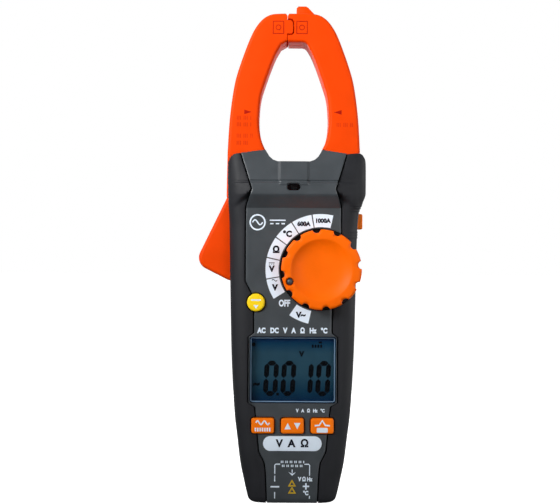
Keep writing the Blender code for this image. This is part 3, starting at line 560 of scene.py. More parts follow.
# The finishes that stand in each slot: first the one that dresses the frame's nodes.
SLOT_FINISHES = {
    "grey_plastic": (GREY,),
    "grip_rubber": (RUBBER,),
    "orange_plastic": (ORANGE, KNOB_ORANGE, CAP_ORANGE, ENGRAVING_SHADE, EMBOSSING_SHADE),
    "yellow_plastic": (YELLOW, YELLOW_PRINT),
    "black_plastic": (BLACK, DARK_PRINT, SEGMENT),
    "white_plastic": (WHITE, PALE_PRINT),
    "clear_plastic": (WINDOW, SHADED_LENS, FRAME_LINE),
    "display_glass": (LCD,),
    "board_laminate": (BOARD,),
    "brass": (BRASS,),
    "steel": (STEEL,),
    "core_iron": (IRON,),
    "cell_jacket": (JACKET,),
}


def dress_frame():
    """A procedural finish on every node of the frame, by its slot."""
    for part in frame["record"]["subparts"]:
        materials = frame["nodes"][part["node"]].data.materials
        materials.clear()
        # The torch lens takes the dark tint that paints the shade inside the torch hole.
        shade_on_lens = part["node"] == "torch_lens"
        materials.append(SHADED_LENS if shade_on_lens else SLOT_FINISHES[part["material_slot"]][0])


# ---------------- the body's form

BODY_TABLE = np.array(smooth(BODY_SECTIONS, 5))


def body_sizes(z):
    return [float(np.interp(z, BODY_TABLE[:, 0], column)) for column in BODY_TABLE[:, 1:].T]


def corner_at(z, front):
    """How far a corner's rounding reaches across and deep, at a height."""
    corner = FRONT_CORNER if front else REAR_CORNER
    return [float(np.interp(z, CORNER_HEIGHTS, reach)) for reach in corner]


def face_depth(x, z, front):
    """How far the body's front or rear stands from the middle, at a place across and up it."""
    left, right, ahead, behind = body_sizes(z)
    across, deep = corner_at(z, front)
    side = right if x > 0 else left
    beyond = limited((abs(x) - side + across) / across)
    return (ahead if front else behind) - deep * (1 - math.sqrt(1 - beyond * beyond))


def guard_depth(x, z):
    """How far the hand guard stands out, with its raised middle."""
    heights, depths = zip(*GUARD)
    lift_heights, lifts = zip(*BOSS_LIFT)
    flank = limited((BOSS_HALF + BOSS_FLANK - abs(x)) / BOSS_FLANK)
    return float(np.interp(z, heights, depths) + flank * np.interp(z, lift_heights, lifts))


def panel_depth(x, z, front):
    """A hard panel's face, the front one with the hand guard."""
    depth = face_depth(x, z, front)
    return max(depth, guard_depth(x, z)) if front and z > GUARD[0][0] else depth


def front_depth(x, z):
    return panel_depth(x, z, True)


def panel_half_width(z, front):
    """The panel's half-width at a height, with its corners eased."""
    widths, heights = zip(*(FRONT_PANEL if front else REAR_PANEL))
    return float(np.mean(np.interp(z + np.linspace(-0.9, 0.9, 7), heights, widths)))


def ring_section(height, shrink, steps=8):
    """The body's outline at a height, moved inwards by a distance."""
    left, right, ahead, behind = [value - shrink for value in body_sizes(height)]
    points = []
    for sign_x, sign_y, start in ((1, -1, -90), (1, 1, 0), (-1, 1, 90), (-1, -1, 180)):
        across, deep = [size - shrink for size in corner_at(height, sign_y < 0)]
        side = right if sign_x > 0 else left
        face = ahead if sign_y < 0 else behind
        for step in range(steps + 1):
            angle = math.radians(start + 90 / steps * step)
            points.append((
                sign_x * (side - across) + across * math.cos(angle),
                sign_y * (face - deep) + deep * math.sin(angle),
                height,
            ))
    return points


def body_form(name, shrink, bottom, top):
    heights = [bottom] + list(np.arange(math.ceil(bottom + 1), top, 3.0)) + [top]
    return loft(name, [ring_section(height, shrink) for height in heights])


# ---------------- cutters shared by the pieces

def chamfered(name, outline, deep, face, flare=0.35):
    """A cutter for a hole in the front, a little wider at the face."""
    return stacked(name, outline, [(-40, -flare), (face - 0.02, -flare), (face + flare, 0), (deep, 0)])


def between_depths(name, near, far):
    """A cutter for all that lies between two depths."""
    return box(name, (-70, near, -10), (70, far, 300))


def front_cutters():
    """The holes in the front face, by what stands in them."""
    half, low, high = DISPLAY
    width, height = BUTTON_SIZE
    display = rounded_rectangle((0, (low + high) / 2), 2 * half + 0.3, high - low + 0.5, 1.2)
    torch = rounded_rectangle((0, TORCH_Z), 7.0, 3.4, 1.69)
    cutters = {
        "display": chamfered("display_hole", display, -10, FACE_Y),
        "round": chamfered("round_hole", circle(ROUND_BUTTON, ROUND_BUTTON_RADIUS + 0.45), -10, FACE_Y),
        "well": prism("well", circle(KNOB, KNOB_RADIUS + 0.7, 96), -40, FACE_Y + 1.85),
        "torch": chamfered("torch_hole", torch, -12, -24.1, 0.7),
    }
    for number in (-1, 0, 1):
        centre = (number * BUTTON_PITCH, BUTTON_Z)
        outline = rounded_rectangle(centre, width + 2 * BUTTON_PLAY, height + 2 * BUTTON_PLAY, 1.6)
        cutters[f"button_{number}"] = chamfered(f"button_hole_{number + 2}", outline, -10, FACE_Y)
    return cutters


def make_cutters():
    """The cutters that more than one piece is cut with, by name."""
    block, slot = SOCKET_BLOCK, TRIGGER_HALF_DEPTH + TRIGGER_PLAY
    side = SIDE_BUTTON_Z
    side_half, side_rise = [size / 2 + BUTTON_PLAY for size in SIDE_BUTTON_SIZE]
    jaw = JAW_HALF_DEPTH + JAW_PLAY
    sweep = (
        [(-60, 205), (-15.2, 205), (-15.2, 190.8), (-12.9, 187.0), (-9.0, 184.9)]
        + arc(PIVOT, PIVOT_DISC + 0.4, 80, -90, 18) + [(-20, 156), (-60, 150)]
    )
    return {
        "behind_front": between_depths("behind_front", -0.01, BEYOND),
        "before_rear": between_depths("before_rear", -BEYOND, 0.01),
        "cavity": body_form("cavity", WALL, LOWER_END + WALL, CAVITY_TOP),
        "trim": prism("trim", HOUSING_TOP_RIGHT + HOUSING_TOP_LEFT, -45, 45),
        "block": box("block_hole", (-block[0], -block[1], -5), (block[0], block[1], block[2])),
        "trigger_slot": box("trigger_slot", (-60, -slot, 113), (-20, slot, 170)),
        "side": box("side_hole", (30, -side_half, side - side_rise), (45, side_half, side + side_rise)),
        "sweep": prism("sweep", sweep, -jaw, jaw),
        "jaw": prism("jaw_hole", inset(fixed_outline(), -0.3), -jaw, jaw),
        **front_cutters(),
    }


# ---------------- the case

# Where the shapes of the panels and grips turn, as a low and high height and the step between rows there.
CLOSE_ROWS = [
    (LOWER_END, LOWER_END + 4.0, 0.3), (23.0, 33.0, 0.5), (54.2, 57.0, 0.2), (91.0, 94.0, 0.2),
    (117.5, 123.5, 0.5), (143.4, 148.2, 0.35), (158.0, 162.6, 0.35),
]
GUARD_ROWS = [(157.0, 191.0, 0.5), (164.0, 175.0, 0.2)]


def panel_rows(front):
    """The heights that the panels are lofted through, closer where their shape turns."""
    rows = [PANEL_TOP]
    for low, high, step in [(LOWER_END, PANEL_TOP, 1.5)] + CLOSE_ROWS + (GUARD_ROWS if front else []):
        rows += list(np.arange(low, high, step))
    return sorted({round(float(row), 2) for row in rows})


def make_panel(name, front):
    """A hard panel as one lofted body, with a rounded rim along its seams."""
    sign = -1 if front else 1
    rim = [(0.0, RIM), (0.04, 0.62 * RIM), (0.16, 0.28 * RIM), (0.32, 0.1 * RIM), (RIM, 0.0)]
    columns = list(np.linspace(-26, 26, 53))
    if front:
        columns += [side * edge for side in (-1, 1) for edge in BOSS_COLUMNS]
    columns.sort()
    rings = []
    for z in panel_rows(front):
        width = panel_half_width(z, front)
        across = [(-width + inward, drop) for inward, drop in rim]
        across += [(min(max(x, -width + RIM), width - RIM), 0.0) for x in columns]
        across += [(width - inward, drop) for inward, drop in reversed(rim)]
        ring = [(x, sign * (panel_depth(x, z, front) - drop), z) for x, drop in across]
        back = sign * (face_depth(width, z, front) - PANEL_THICKNESS)
        rings.append(ring + [(width, back, z), (-width, back, z)])
    return loft(name, rings)


def cheek(x, z):
    """The soft swelling of a front grip beside the hand guard, with a scooped lower end."""
    if z <= CHEEK_Z:
        return 0.0
    rise = max(guard_depth(30, z) - face_depth(0, z, True), 0)
    if z < CHEEK_Z + 8:
        rise = max(rise, CHEEK_RISE * limited((z - CHEEK_Z) / 7))
    near = limited(1 - (abs(x) - 22) / 12.5)
    scoop = SCOOP_Z - 0.85 * max(abs(x) - 23, 0)
    up = limited((z - scoop + 1.8) / 3.2)
    return 0.85 * rise * near * up * up * (3 - 2 * up)


def side_ribs(z):
    """The fine ribs on the right edge, above and below the side button."""
    near = any(low < z < low + RIB_ROW for low in RIB_Z)
    return RIB_HEIGHT * abs(math.sin((z - RIB_Z[0]) * math.pi / RIB_PITCH)) if near else 0.0


def grip_path(z, side_sign, front, shrink, pull):
    """The grip's skin at a height, from the parting plane round the corner to the seam."""
    left, right, ahead, behind = body_sizes(z)
    side = (right + side_ribs(z) if side_sign > 0 else left) - shrink
    across, deep = [size - shrink for size in corner_at(z, front)]
    face = (ahead if front else behind) - shrink
    seam = panel_half_width(z, front) + SEAM + pull
    points = [(side, 0.12 + pull), (side, 0.6 + pull)]
    points += [(side, (face - deep) * share) for share in (0.3, 0.6, 1.0)]
    turn = math.acos(limited((seam - side + across) / across))
    for step in range(1, GRIP_STEPS + 1):
        angle = turn * step / GRIP_STEPS
        points.append((side - across + across * math.cos(angle), face - deep + deep * math.sin(angle)))
    end = points[-1]
    for share in (0.25, 0.5, 0.75, 1.0):
        points.append((end[0] + (min(seam, end[0]) - end[0]) * share, end[1]))
    if front:
        points = [(x, y + cheek(x, z)) for x, y in points]
    sign_y = -1 if front else 1
    return [(side_sign * x, sign_y * y, z) for x, y in points]


def make_grip(name, side_sign, front):
    """A soft grip as one lofted shell, eased where it meets the panel and the other grip."""
    layers = ((0.0, 0.5), (0.12, 0.14), (0.5, 0.0), (GRIP_THICKNESS, 0.0))
    rings = []
    for z in panel_rows(front):
        outer, shoulder, edge, inner = [grip_path(z, side_sign, front, *layer) for layer in layers]
        rings.append(outer + [shoulder[-1], edge[-1]] + inner[::-1] + [edge[0], shoulder[0]])
    return loft(name, rings)


def make_case_half(half, beyond, holes, wells, tools):
    """A hard panel over a black core, both with the holes of their half of the case."""
    core = body_form(f"case_core_{half}", CORE_DROP, LOWER_END + 0.4, CORE_TOP)
    core = cut(core, tools[beyond], tools["cavity"])
    inner = [tools[key] for key in ("block", "jaw", "trigger_slot", "sweep", "side", "trim")]
    core = cut(core, *holes, *inner)
    piece(core, BLACK)
    panel = cut(make_panel(f"{half}_panel", half == "front"), *holes, *wells, tools["block"], tools["trim"])
    piece(panel, GREY, "housing", [f"{half}_cover"], 28)


def make_case(tools):
    """The hard panels over a black core, and the four soft grips."""
    holes = [tools[key] for key in ("display", "button_-1", "button_0", "button_1", "round", "torch")]
    make_case_half("front", "behind_front", holes, [tools["well"]], tools)

    low, high = COVER_Z
    outline = rounded_rectangle((0, (low + high) / 2), 2 * COVER_HALF_WIDTH, high - low, 3)
    bay = prism("battery_bay", outline, 10, 40)
    heads = []
    for i, place in enumerate(SCREW_PLACES):
        heads.append(prism(f"head_hole_{i}", circle(place, SCREW_HEAD_HOLE, 32), 12.8, 40))
    make_case_half("rear", "before_rear", [bay, *heads], [], tools)

    for half in ("front", "rear"):
        for side, sign in (("left", -1), ("right", 1)):
            keys = ["trim", "trigger_slot", "sweep"] if side == "left" else ["trim", "side", "jaw"]
            if half == "front":
                keys += ["button_-1", "round"] if side == "left" else ["button_1", "well"]
            name = f"{half}_grip_{side}"
            grip = cut(make_grip(name + "_skin", sign, half == "front"), *[tools[key] for key in keys])
            piece(grip, RUBBER, "housing", [name], 30)


def make_battery_cover():
    low, high = COVER_Z
    outline = rounded_rectangle((0, (low + high) / 2), 2 * COVER_HALF_WIDTH - 0.7, high - low - 0.7, 2.7)
    cover = stacked("battery_door", outline, [(16.2, 0), (18.5, 0), (18.85, 0.12), (19.0, 0.45)])
    screw = (0, high - 6.0)
    holes = [
        prism("door_head_hole", circle(screw, SCREW_HEAD_HOLE + 0.1, 32), 17.4, 25),
        prism("door_hole", circle(screw, 1.8, 24), 5, 25),
    ]
    for i in range(4):
        groove = rounded_rectangle((0, low + 6 + 2.6 * i), 16, 1.1, 0.5)
        holes.append(stacked(f"door_groove_{i}", groove, [(18.5, 0.2), (19.2, -0.2)]))
    piece(cut(cover, *holes), GREY, "housing", ["battery_cover"])


# ---------------- the jaws

def fixed_outline():
    """The right jaw, with its root inside the case, up to a line left of where the jaws part."""
    root = [
        (33.4, 186.0), (33.2, 160.0), (12.0, 158.8), (5.6, 165.5), (4.4, 172.0), (5.0, 181.0), (9.4, 182.4),
        (13.8, 185.3), (16.6, 190.6),
    ]
    window = list(reversed(smooth(JAW_WINDOW[:-1] + [(15.2, 191.4)])))
    return [(-13.0, JAW_TOP)] + smooth(JAW_OUTER) + root + window + [(-13.0, WINDOW_TOP)]


def moving_outline():
    """The left jaw with its disc round the pivot, up to a line right of where the jaws part."""
    outer = [(9.0, JAW_TOP)] + [(-x, z) for x, z in smooth(JAW_OUTER)] + [(-35.9, 166.0), (-30.0, 160.0)]
    window = [(-9.6, 184.6), (-12.9, 187.0)] + [(-x, z) for x, z in reversed(smooth(JAW_WINDOW[1:]))]
    return outer + arc(PIVOT, PIVOT_DISC, 245, 442, 40) + window + [(-4.6, WINDOW_TOP), (9.0, WINDOW_TOP)]


def trigger_outline():
    tip = arc(TRIGGER_TIP, TRIGGER_TIP_RADIUS, 154, 243.3, 16)
    foot = [(-35.2, 121.2), (-30.0, 120.0), (-24.0, 150.0), (-20.0, 172.0)]
    return [(-35.9, 172.0), (-35.9, 165.3)] + tip + foot


def rounded_levels(half_depth, radius, sign, steps=7):
    """Levels from the parting plane out to a face with a rounded edge."""
    levels = [(0.1, 0.3), (0.2, 0.12), (0.4, 0.0)]
    for step in range(steps + 1):
        angle = math.pi / 2 * step / steps
        levels.append((half_depth - radius + radius * math.sin(angle), radius * (1 - math.cos(angle))))
    return [(sign * level, drop) for level, drop in levels]


def split_cutter(name, side, clearance, shift):
    """All that lies on one side of the line where the jaws part, tongue included, wider at both faces."""
    x = SPLIT_X - side * SPLIT_GAP / 2 + shift
    low, high = TONGUE_ROOT
    edge = [(x, low - clearance)]
    for u, v in TONGUE:
        edge.append((u + clearance + shift, v + math.copysign(clearance, v - (low + high) / 2)))
    edge.append((x, high + clearance))
    far = BEYOND * side
    outline = [(x, 230)] + edge + [(x, 300), (far, 300), (far, 230)]
    face, start = JAW_HALF_DEPTH + 0.02, JAW_HALF_DEPTH - 0.5
    outer = [(start, 0), (face, -SPLIT_FLARE), (30, -SPLIT_FLARE)]
    return stacked(name, outline, [(-level, drop) for level, drop in reversed(outer)] + outer)


def v_notch(name, tip, mouth, half):
    """A cutter for a V across the line where the jaws part."""
    return prism(name, [(SPLIT_X, tip), (SPLIT_X + half, mouth), (SPLIT_X - half, mouth)], -20, 20)


def make_jaws():
    """The front and rear halves of both jaws: the right one with its hook, the left one with the trigger."""
    notches = [
        v_notch("top_notch", JAW_TOP - 1.7, JAW_TOP + 0.6, 1.2),
        v_notch("window_notch", WINDOW_TOP + 1.3, WINDOW_TOP - 0.6, 0.9),
    ]
    for half, sign, shift in (("front", -1, 0.0), ("rear", 1, REAR_SHIFT)):
        right_side = split_cutter(f"right_side_{half}", 1, 0.0, shift)
        left_side = split_cutter(f"left_side_{half}", -1, TONGUE_PLAY, shift)
        levels = rounded_levels(JAW_HALF_DEPTH, JAW_EDGE, sign)
        hook = stacked(f"hook_{half}", HOOK, [(sign * level, drop) for level, drop in HOOK_LEVELS])
        fixed = cut(stacked(f"fixed_jaw_{half}", fixed_outline(), levels), left_side, *notches)
        piece(join(fixed, hook), ORANGE, "housing", [f"fixed_jaw_{half}_shell"], 30)
        finger_levels = rounded_levels(TRIGGER_HALF_DEPTH, TRIGGER_EDGE, sign)
        finger = stacked(f"finger_{half}", trigger_outline(), finger_levels)
        moving = cut(stacked(f"moving_jaw_{half}", moving_outline(), levels), right_side, *notches)
        pin = prism(f"pin_hole_{half}", circle(PIVOT, PIN_HOLE_RADIUS, 32), -20, 20)
        moving = cut(join(moving, finger), pin)
        piece(moving, ORANGE, "moving_jaw", [f"moving_jaw_{half}_shell"], 30)


# ---------------- the selector

def knob_reach(radius, angle):
    """The knob's radius at an angle, with its finger notches."""
    if radius < KNOB_RADIUS - 2.1:
        return radius
    spacing = 360 / KNOB_NOTCHES
    off = (math.degrees(angle) - 7 + spacing / 2) % spacing - spacing / 2
    share = limited(abs(off) / NOTCH_HALF_ANGLE)
    return radius - NOTCH_DEPTH * math.sqrt(1 - share * share)


def make_selector():
    """The knob with its shallow dish, and the dark dot that points to a field."""
    front, back = KNOB_FRONT_Y, KNOB_BACK_Y
    radius, depth = KNOB_DISH
    profile = [(r, front + depth - depth * (r / radius) ** 4) for r in np.linspace(0.05, radius - 0.4, 20)]
    profile += [
        (15.9, front + 0.11), (16.3, front + 0.03), (16.8, front), (17.4, front), (19.4, front + 0.05),
        (20.1, front + 0.15), (20.6, front + 0.45), (20.95, front + 0.95), (KNOB_RADIUS, front + 1.7),
        (KNOB_RADIUS, front + 5.0), (KNOB_RADIUS, back - 0.8), (20.8, back - 0.3), (20.2, back),
        (15.0, back), (0.05, back),
    ]
    knob = turned("selector_dial", profile, KNOB, 360, knob_reach)
    dot = polar(KNOB, POINTER_RADIUS, POINTER_ANGLE)
    hole_levels = [(front - 2, -0.35), (front - 0.02, -0.35), (front + 0.35, 0), (front + 2.6, 0)]
    hole = stacked("dot_hole", circle(dot, POINTER_DOT + 0.35, 40), hole_levels)
    piece(cut(knob, hole), KNOB_ORANGE, "selector", ["selector_knob"], 40)
    dome = [(r, front + 0.25 + 0.9 * (r / POINTER_DOT) ** 2) for r in np.linspace(0.02, POINTER_DOT, 7)]
    dome += [(POINTER_DOT, front + 2.5), (0.02, front + 2.5)]
    piece(turned("pointer_dot", dome, dot, 32), GREY, "selector", ["knob_pointer"])


# ---------------- buttons

def cap(name, outline, top, edge):
    """A button's cap: an outline from its foot up to its eased top, by (how far below the top, inset)."""
    return stacked(name, outline, [(BUTTON_FOOT, 0)] + [(top + below, drop) for below, drop in edge])


def make_buttons():
    """The three keys under the display, the round button and the side button."""
    width, height = BUTTON_SIZE
    edge = [(0.75, 0), (0.4, 0.08), (0.14, 0.28), (0, 0.65), (-0.06, 1.2)]
    for number, key in ((-1, "mode"), (0, "range"), (1, "peak")):
        outline = rounded_rectangle((number * BUTTON_PITCH, BUTTON_Z), width, height, 1.3)
        key_cap = cap(f"{key}_cap", outline, BUTTON_TOP, edge)
        piece(key_cap, CAP_ORANGE, f"{key}_key", [f"{key}_button"])

    edge = [(0.8, 0), (0.4, 0.08), (0.14, 0.3), (0, 0.7), (-0.05, 1.5), (-0.05, 3.5)]
    round_cap = cap("relative_cap", circle(ROUND_BUTTON, ROUND_BUTTON_RADIUS), ROUND_BUTTON_TOP, edge)
    piece(round_cap, YELLOW, "relative_key", ["relative_button"])

    width, height = SIDE_BUTTON_SIZE
    outline = rounded_rectangle((0, SIDE_BUTTON_Z), width, height, 1.0)
    side = stacked("side_cap", outline, [(31.0, 0), (36.6, 0), (37.1, 0.15), (37.4, 0.45), (37.5, 0.9)], "X")
    ridges = []
    for i in (-1, 0, 1):
        ridge = rounded_rectangle((0, SIDE_BUTTON_Z + 1.7 * i), 6.0, 0.5, 0.2)
        ridges.append(prism(f"side_ridge_{i}", ridge, 37.25, 39, "X"))
    piece(cut(side, *ridges), CAP_ORANGE, "side_key", ["side_button"])


# ---------------- flat shapes on a surface

def level_surface(depth):
    """A flat surface that stands a depth out from the middle."""
    return lambda x, z: depth


def flat_piece(name, shapes, depth_at, thickness=0.06):
    """One thin piece of flat shapes on a surface: closed outlines, or pairs of an outer and an inner one."""
    top, bottom = PRINT_LIFT, PRINT_LIFT - thickness
    points, faces = [], []
    for shape in shapes:
        start = len(points)
        if isinstance(shape, tuple):
            outer, inner = shape
            loops = [(outer, top), (outer, bottom), (inner, bottom), (inner, top)]
        else:
            loops = [(shape, top), (shape, bottom)]
        for outline, lift in loops:
            points += [(x, -(depth_at(x, z) + lift), z) for x, z in outline]
        count = len(loops[0][0])
        if len(loops) == 4:
            for side in range(4):
                faces += band_faces(start + side * count, start + (side + 1) % 4 * count, count)
        else:
            back = start + count
            faces += [tuple(range(start, back)), tuple(range(back + count - 1, back - 1, -1))]
            faces += band_faces(start, back, count)
    return new_object(name, points, faces)


def lettering(name, rows, depth_at, weight=0.045, squeeze=1.0):
    """Generic signs as one mesh: rows of (text, x, z, height), each centred, laid on a surface."""
    merged = bmesh.new()
    for text, x, z, size in rows:
        curve = bpy.data.curves.new(name, "FONT")
        curve.body = text
        curve.size = size
        curve.align_x = "CENTER"
        curve.align_y = "CENTER"
        curve.offset = weight * size
        curve.resolution_u = 3
        curve.extrude = 0.03
        drawing = tool_object(name, curve)
        bpy.context.view_layer.update()
        mesh = evaluated_mesh(drawing)
        bpy.data.objects.remove(drawing)
        for vertex in mesh.vertices:
            across, up, out = vertex.co
            u, v = x + across * squeeze, z + up
            vertex.co = placed(u, -(depth_at(u, v) + PRINT_LIFT + out), v)
        merged.from_mesh(mesh)
        bpy.data.meshes.remove(mesh)
    mesh = bpy.data.meshes.new(name)
    merged.to_mesh(mesh)
    merged.free()
    return tool_object(name, mesh)


def line(points, width):
    """A thin line of a width through points, as one outline."""
    sides = ([], [])
    for before, here, after in zip(points[:1] + points[:-1], points, points[1:] + points[-1:]):
        along = Vector((after[0] - before[0], after[1] - before[1])).normalized()
        for side, sign in zip(sides, (1, -1)):
            side.append((here[0] - sign * along.y * width / 2, here[1] + sign * along.x * width / 2))
    return [sides[0] + sides[1][::-1]]


def dashes(start, z, length, pitch, width):
    """Three short lines in a row."""
    shapes = []
    for x in (start, start + pitch, start + 2 * pitch):
        shapes += line([(x, z), (x + length, z)], width)
    return shapes


def wave(start, step, height, half_wave, count=19):
    """Points along a sine wave that turns back after so many steps."""
    x, z = start
    return [(x + step * i, z + height * math.sin(i * math.pi / half_wave)) for i in range(count)]


def ring_band(centre, radius, width, count=40):
    return [(circle(centre, radius + width / 2, count), circle(centre, radius - width / 2, count))]


def ticks(start, end, z, height, widths, gap):
    """A row of small bars from one end to the other; a negative width is a gap of that width."""
    shapes, x, number = [], start, 0
    while x < end:
        width = widths[number % len(widths)]
        if width > 0:
            shapes.append([(x, z), (x + width, z), (x + width, z + height), (x, z + height)])
        x += abs(width) + gap
        number += 1
    return shapes


# ---------------- display

SEGMENTS = {"0": "abcdef", "1": "bc"}
DIGIT_SIZE = (7.7, 18.8)
DIGIT_BAR = 2.65
DIGIT_LEAN = 1.1  # how far right a digit's top leans
DIGIT_START = (-15.9, 59.8)
DIGIT_PITCH = 9.25


def pointed_bar(start, end, level, half):
    """A bar with pointed ends and a small gap before each, as (along, across)."""
    low, high = start + 0.16, end - 0.16
    return [
        (low, level), (low + half, level - half), (high - half, level - half),
        (high, level), (high - half, level + half), (low + half, level + half),
    ]


def digit_bars(x, z):
    """The outer bars of one digit, upright, by letter."""
    width, height = DIGIT_SIZE
    half = DIGIT_BAR / 2
    left, right = x + half, x + width - half
    low, middle, high = z + half, z + height / 2, z + height - half
    bars = {"a": pointed_bar(left, right, high, half), "d": pointed_bar(left, right, low, half)}
    for letter, across, foot, head in (
        ("f", left, middle, high), ("b", right, middle, high),
        ("e", left, low, middle), ("c", right, low, middle),
    ):
        bars[letter] = [(u, v) for v, u in pointed_bar(foot, head, across, half)]
    return bars


def make_display():
    """The clear pane with a pale line inside its edge, and the digits and signs on the lit cell."""
    half, low, high = DISPLAY
    middle = (low + high) / 2
    outline = rounded_rectangle((0, middle), 2 * half, high - low, 1.0)
    pane = stacked("display_pane", outline, [(-17.1, 0.1), (-18.6, 0), (-18.8, 0.2)])
    piece(pane, WINDOW, "housing", ["display_window"])
    inner = rounded_rectangle((0, middle), 2 * half - 0.7, high - low - 0.5, 1.0)
    edge_line = frame_bar("display_frame_line", inner, inset(inner, 0.45), -17.0, -16.4)
    piece(edge_line, FRAME_LINE)

    cell = level_surface(CELL_DEPTH)
    start, foot = DIGIT_START
    slant = DIGIT_LEAN / DIGIT_SIZE[1]
    shapes = []
    for place, digit in enumerate("0010"):
        bars = digit_bars(start + DIGIT_PITCH * place, foot)
        shapes += [[(x + (z - foot) * slant, z) for x, z in bars[letter]] for letter in SEGMENTS[digit]]
    shapes.append(rounded_rectangle((-7.9, 60.8), 1.5, 1.5, 0.3, 3))
    shapes.append(rounded_rectangle((-20.8, 87.2), 1.8, 2.0, 0.8, 5))
    shapes += [rounded_rectangle((10.6 + 1.5 * i, 86.4), 1.0, 1.7, 0.2, 3) for i in range(4)]
    shapes.append(rounded_rectangle((14.6, 88.4), 1.8, 1.0, 0.2, 3))
    piece(flat_piece("display_digits", shapes, cell), SEGMENT)
    signs = lettering("display_signs", [("V", 4.7, 82.1, 3.6), ("~", -19.2, 66.2, 5.0)], cell, 0.08)
    piece(signs, SEGMENT)


# ---------------- prints on the face

# The dial's fields: start and end angle, then the sign's angle, text and height.
DIAL_BANDS = [
    (77.5, 99), (100.3, 121.5), (122.8, 144), (145.3, 167), (168.3, 189.5), (190.8, 212), (235.5, 257),
]
DIAL_SIGNS = [
    (88.3, "1000A", 3.0), (110.8, "600A", 3.1), (133.4, "°C", 4.2), (156, "Ω", 4.6), (179, "V", 4.2),
    (201.2, "V", 4.2), (246.2, "V~", 4.0),
]
DIAL_INNER = 22.4
DIAL_OUTER = 29.3
DIAL_SIGN_RADIUS = 26.0
UNIT_SIGNS = [
    ("AC   DC   V   A   Ω   Hz   °C", -0.3, 94.8, 3.7), ("V   A   Ω   Hz   °C", 9.4, 52.6, 2.4),
    ("V Ω Hz", 6.9, 16.4, 2.9), ("°C", 7.2, 9.0, 3.0),
]


def band(start, end):
    """A field of the ring round the knob, between two angles in degrees."""
    return arc(KNOB, DIAL_OUTER, start, end, 14) + arc(KNOB, DIAL_INNER, end, start, 14)


def over_fields(x, z):
    """The surface of the dial's printed fields."""
    return front_depth(x, z) + PRINT_LIFT


def make_dial_prints():
    """The fields round the knob, with their signs, and OFF."""
    bands = flat_piece("dial_fields", [band(start, end) for start, end in DIAL_BANDS], front_depth)
    piece(bands, PALE_PRINT)
    signs = []
    for angle, text, size in DIAL_SIGNS:
        x, z = polar(KNOB, DIAL_SIGN_RADIUS, angle)
        signs.append((text, x, z - 0.3, size))
    piece(lettering("dial_signs", signs, over_fields, 0.062), DARK_PRINT)
    small = line([(-13.0, 130.6), (-9.9, 130.6)], 0.4) + dashes(-12.9, 129.9, 0.5, 1.15, 0.35)
    small += line(wave((-11.3, 121.4), 0.35, 0.45, 4, 9), 0.4)
    piece(flat_piece("dial_small_signs", small, over_fields), DARK_PRINT)
    off = lettering("off_sign", [("OFF", -4.6, 109.2, 4.7)], front_depth, squeeze=0.72)
    piece(off, PALE_PRINT)


def current_marks():
    """A ring with an alternating wave, beside the marks for direct current."""
    marks = ring_band((-19.0, 152.0), 3.9, 0.8) + line(wave((-21.7, 152.0), 0.3, 1.3, 9), 0.7)
    return marks + line([(-12.6, 153.1), (-4.2, 153.1)], 0.7) + dashes(-12.4, 151.3, 1.8, 3.0, 0.7)


def socket_marks():
    """The lead lines over the two sockets, the rows of bars between them, an arrow, a minus and a plus."""
    marks = line([(-9.2, 6.1), (-9.2, 9.6)], 0.5) + line([(9.2, 6.1), (9.2, 7.6)], 0.5)
    for side, low in ((-1, 15.2), (1, 18.4)):
        marks += line([(side * 9.2, low), (side * 9.2, 23.9), (side * 8.6, 24.4), (side * 6.4, 24.4)], 0.5)
    for start, end, z in ((-6.0, 6.2, 25.0), (-5.4, 5.8, 22.9)):
        marks += ticks(start, end, z, 1.2, (0.5, 0.5, -0.4), 0.32)
    marks += line([(0, 21.6), (0, 19.9)], 0.5) + [[(-2.0, 20.2), (0, 18.3), (2.0, 20.2), (0, 19.4)]]
    marks += line([(-11.4, 12.4), (-6.8, 12.4)], 0.8)
    marks.append([
        (5.6, 12.3), (6.9, 12.3), (6.9, 11.0), (7.7, 11.0), (7.7, 12.3), (9.0, 12.3),
        (9.0, 13.1), (7.7, 13.1), (7.7, 14.4), (6.9, 14.4), (6.9, 13.1), (5.6, 13.1),
    ])
    return marks


def make_name_plate():
    """The pale plate under the keys, with unit signs."""
    half, low, high = LABEL
    middle = (low + high) / 2
    outline = rounded_rectangle((0, middle), 2 * half, high - low, (high - low) / 2 - 0.01, 12)
    levels = [(-19.1, 0), (-19.45, 0), (-LABEL_TOP + 0.02, 0.08), (-LABEL_TOP, 0.25)]
    piece(stacked("name_pill", outline, levels), PALE_PRINT, "housing", ["name_plate"])
    signs = lettering("pill_signs", [("V  A  Ω", 0, middle, 5.4)], level_surface(LABEL_TOP))
    piece(signs, DARK_PRINT)


def make_prints():
    """The prints on the front face."""
    make_dial_prints()
    piece(flat_piece("face_marks", current_marks() + socket_marks(), front_depth), PALE_PRINT)
    piece(lettering("unit_signs", UNIT_SIGNS, front_depth, 0.06, 0.82), PALE_PRINT)
    triangles = [[(-2.2, low), (2.1, low), (-0.05, low + 3.7)] for low in (12.6, 8.8)]
    outlines = [(triangle, inset(triangle, 0.62)) for triangle in triangles]
    piece(flat_piece("yellow_triangles", outlines, front_depth), YELLOW_PRINT)
    make_name_plate()


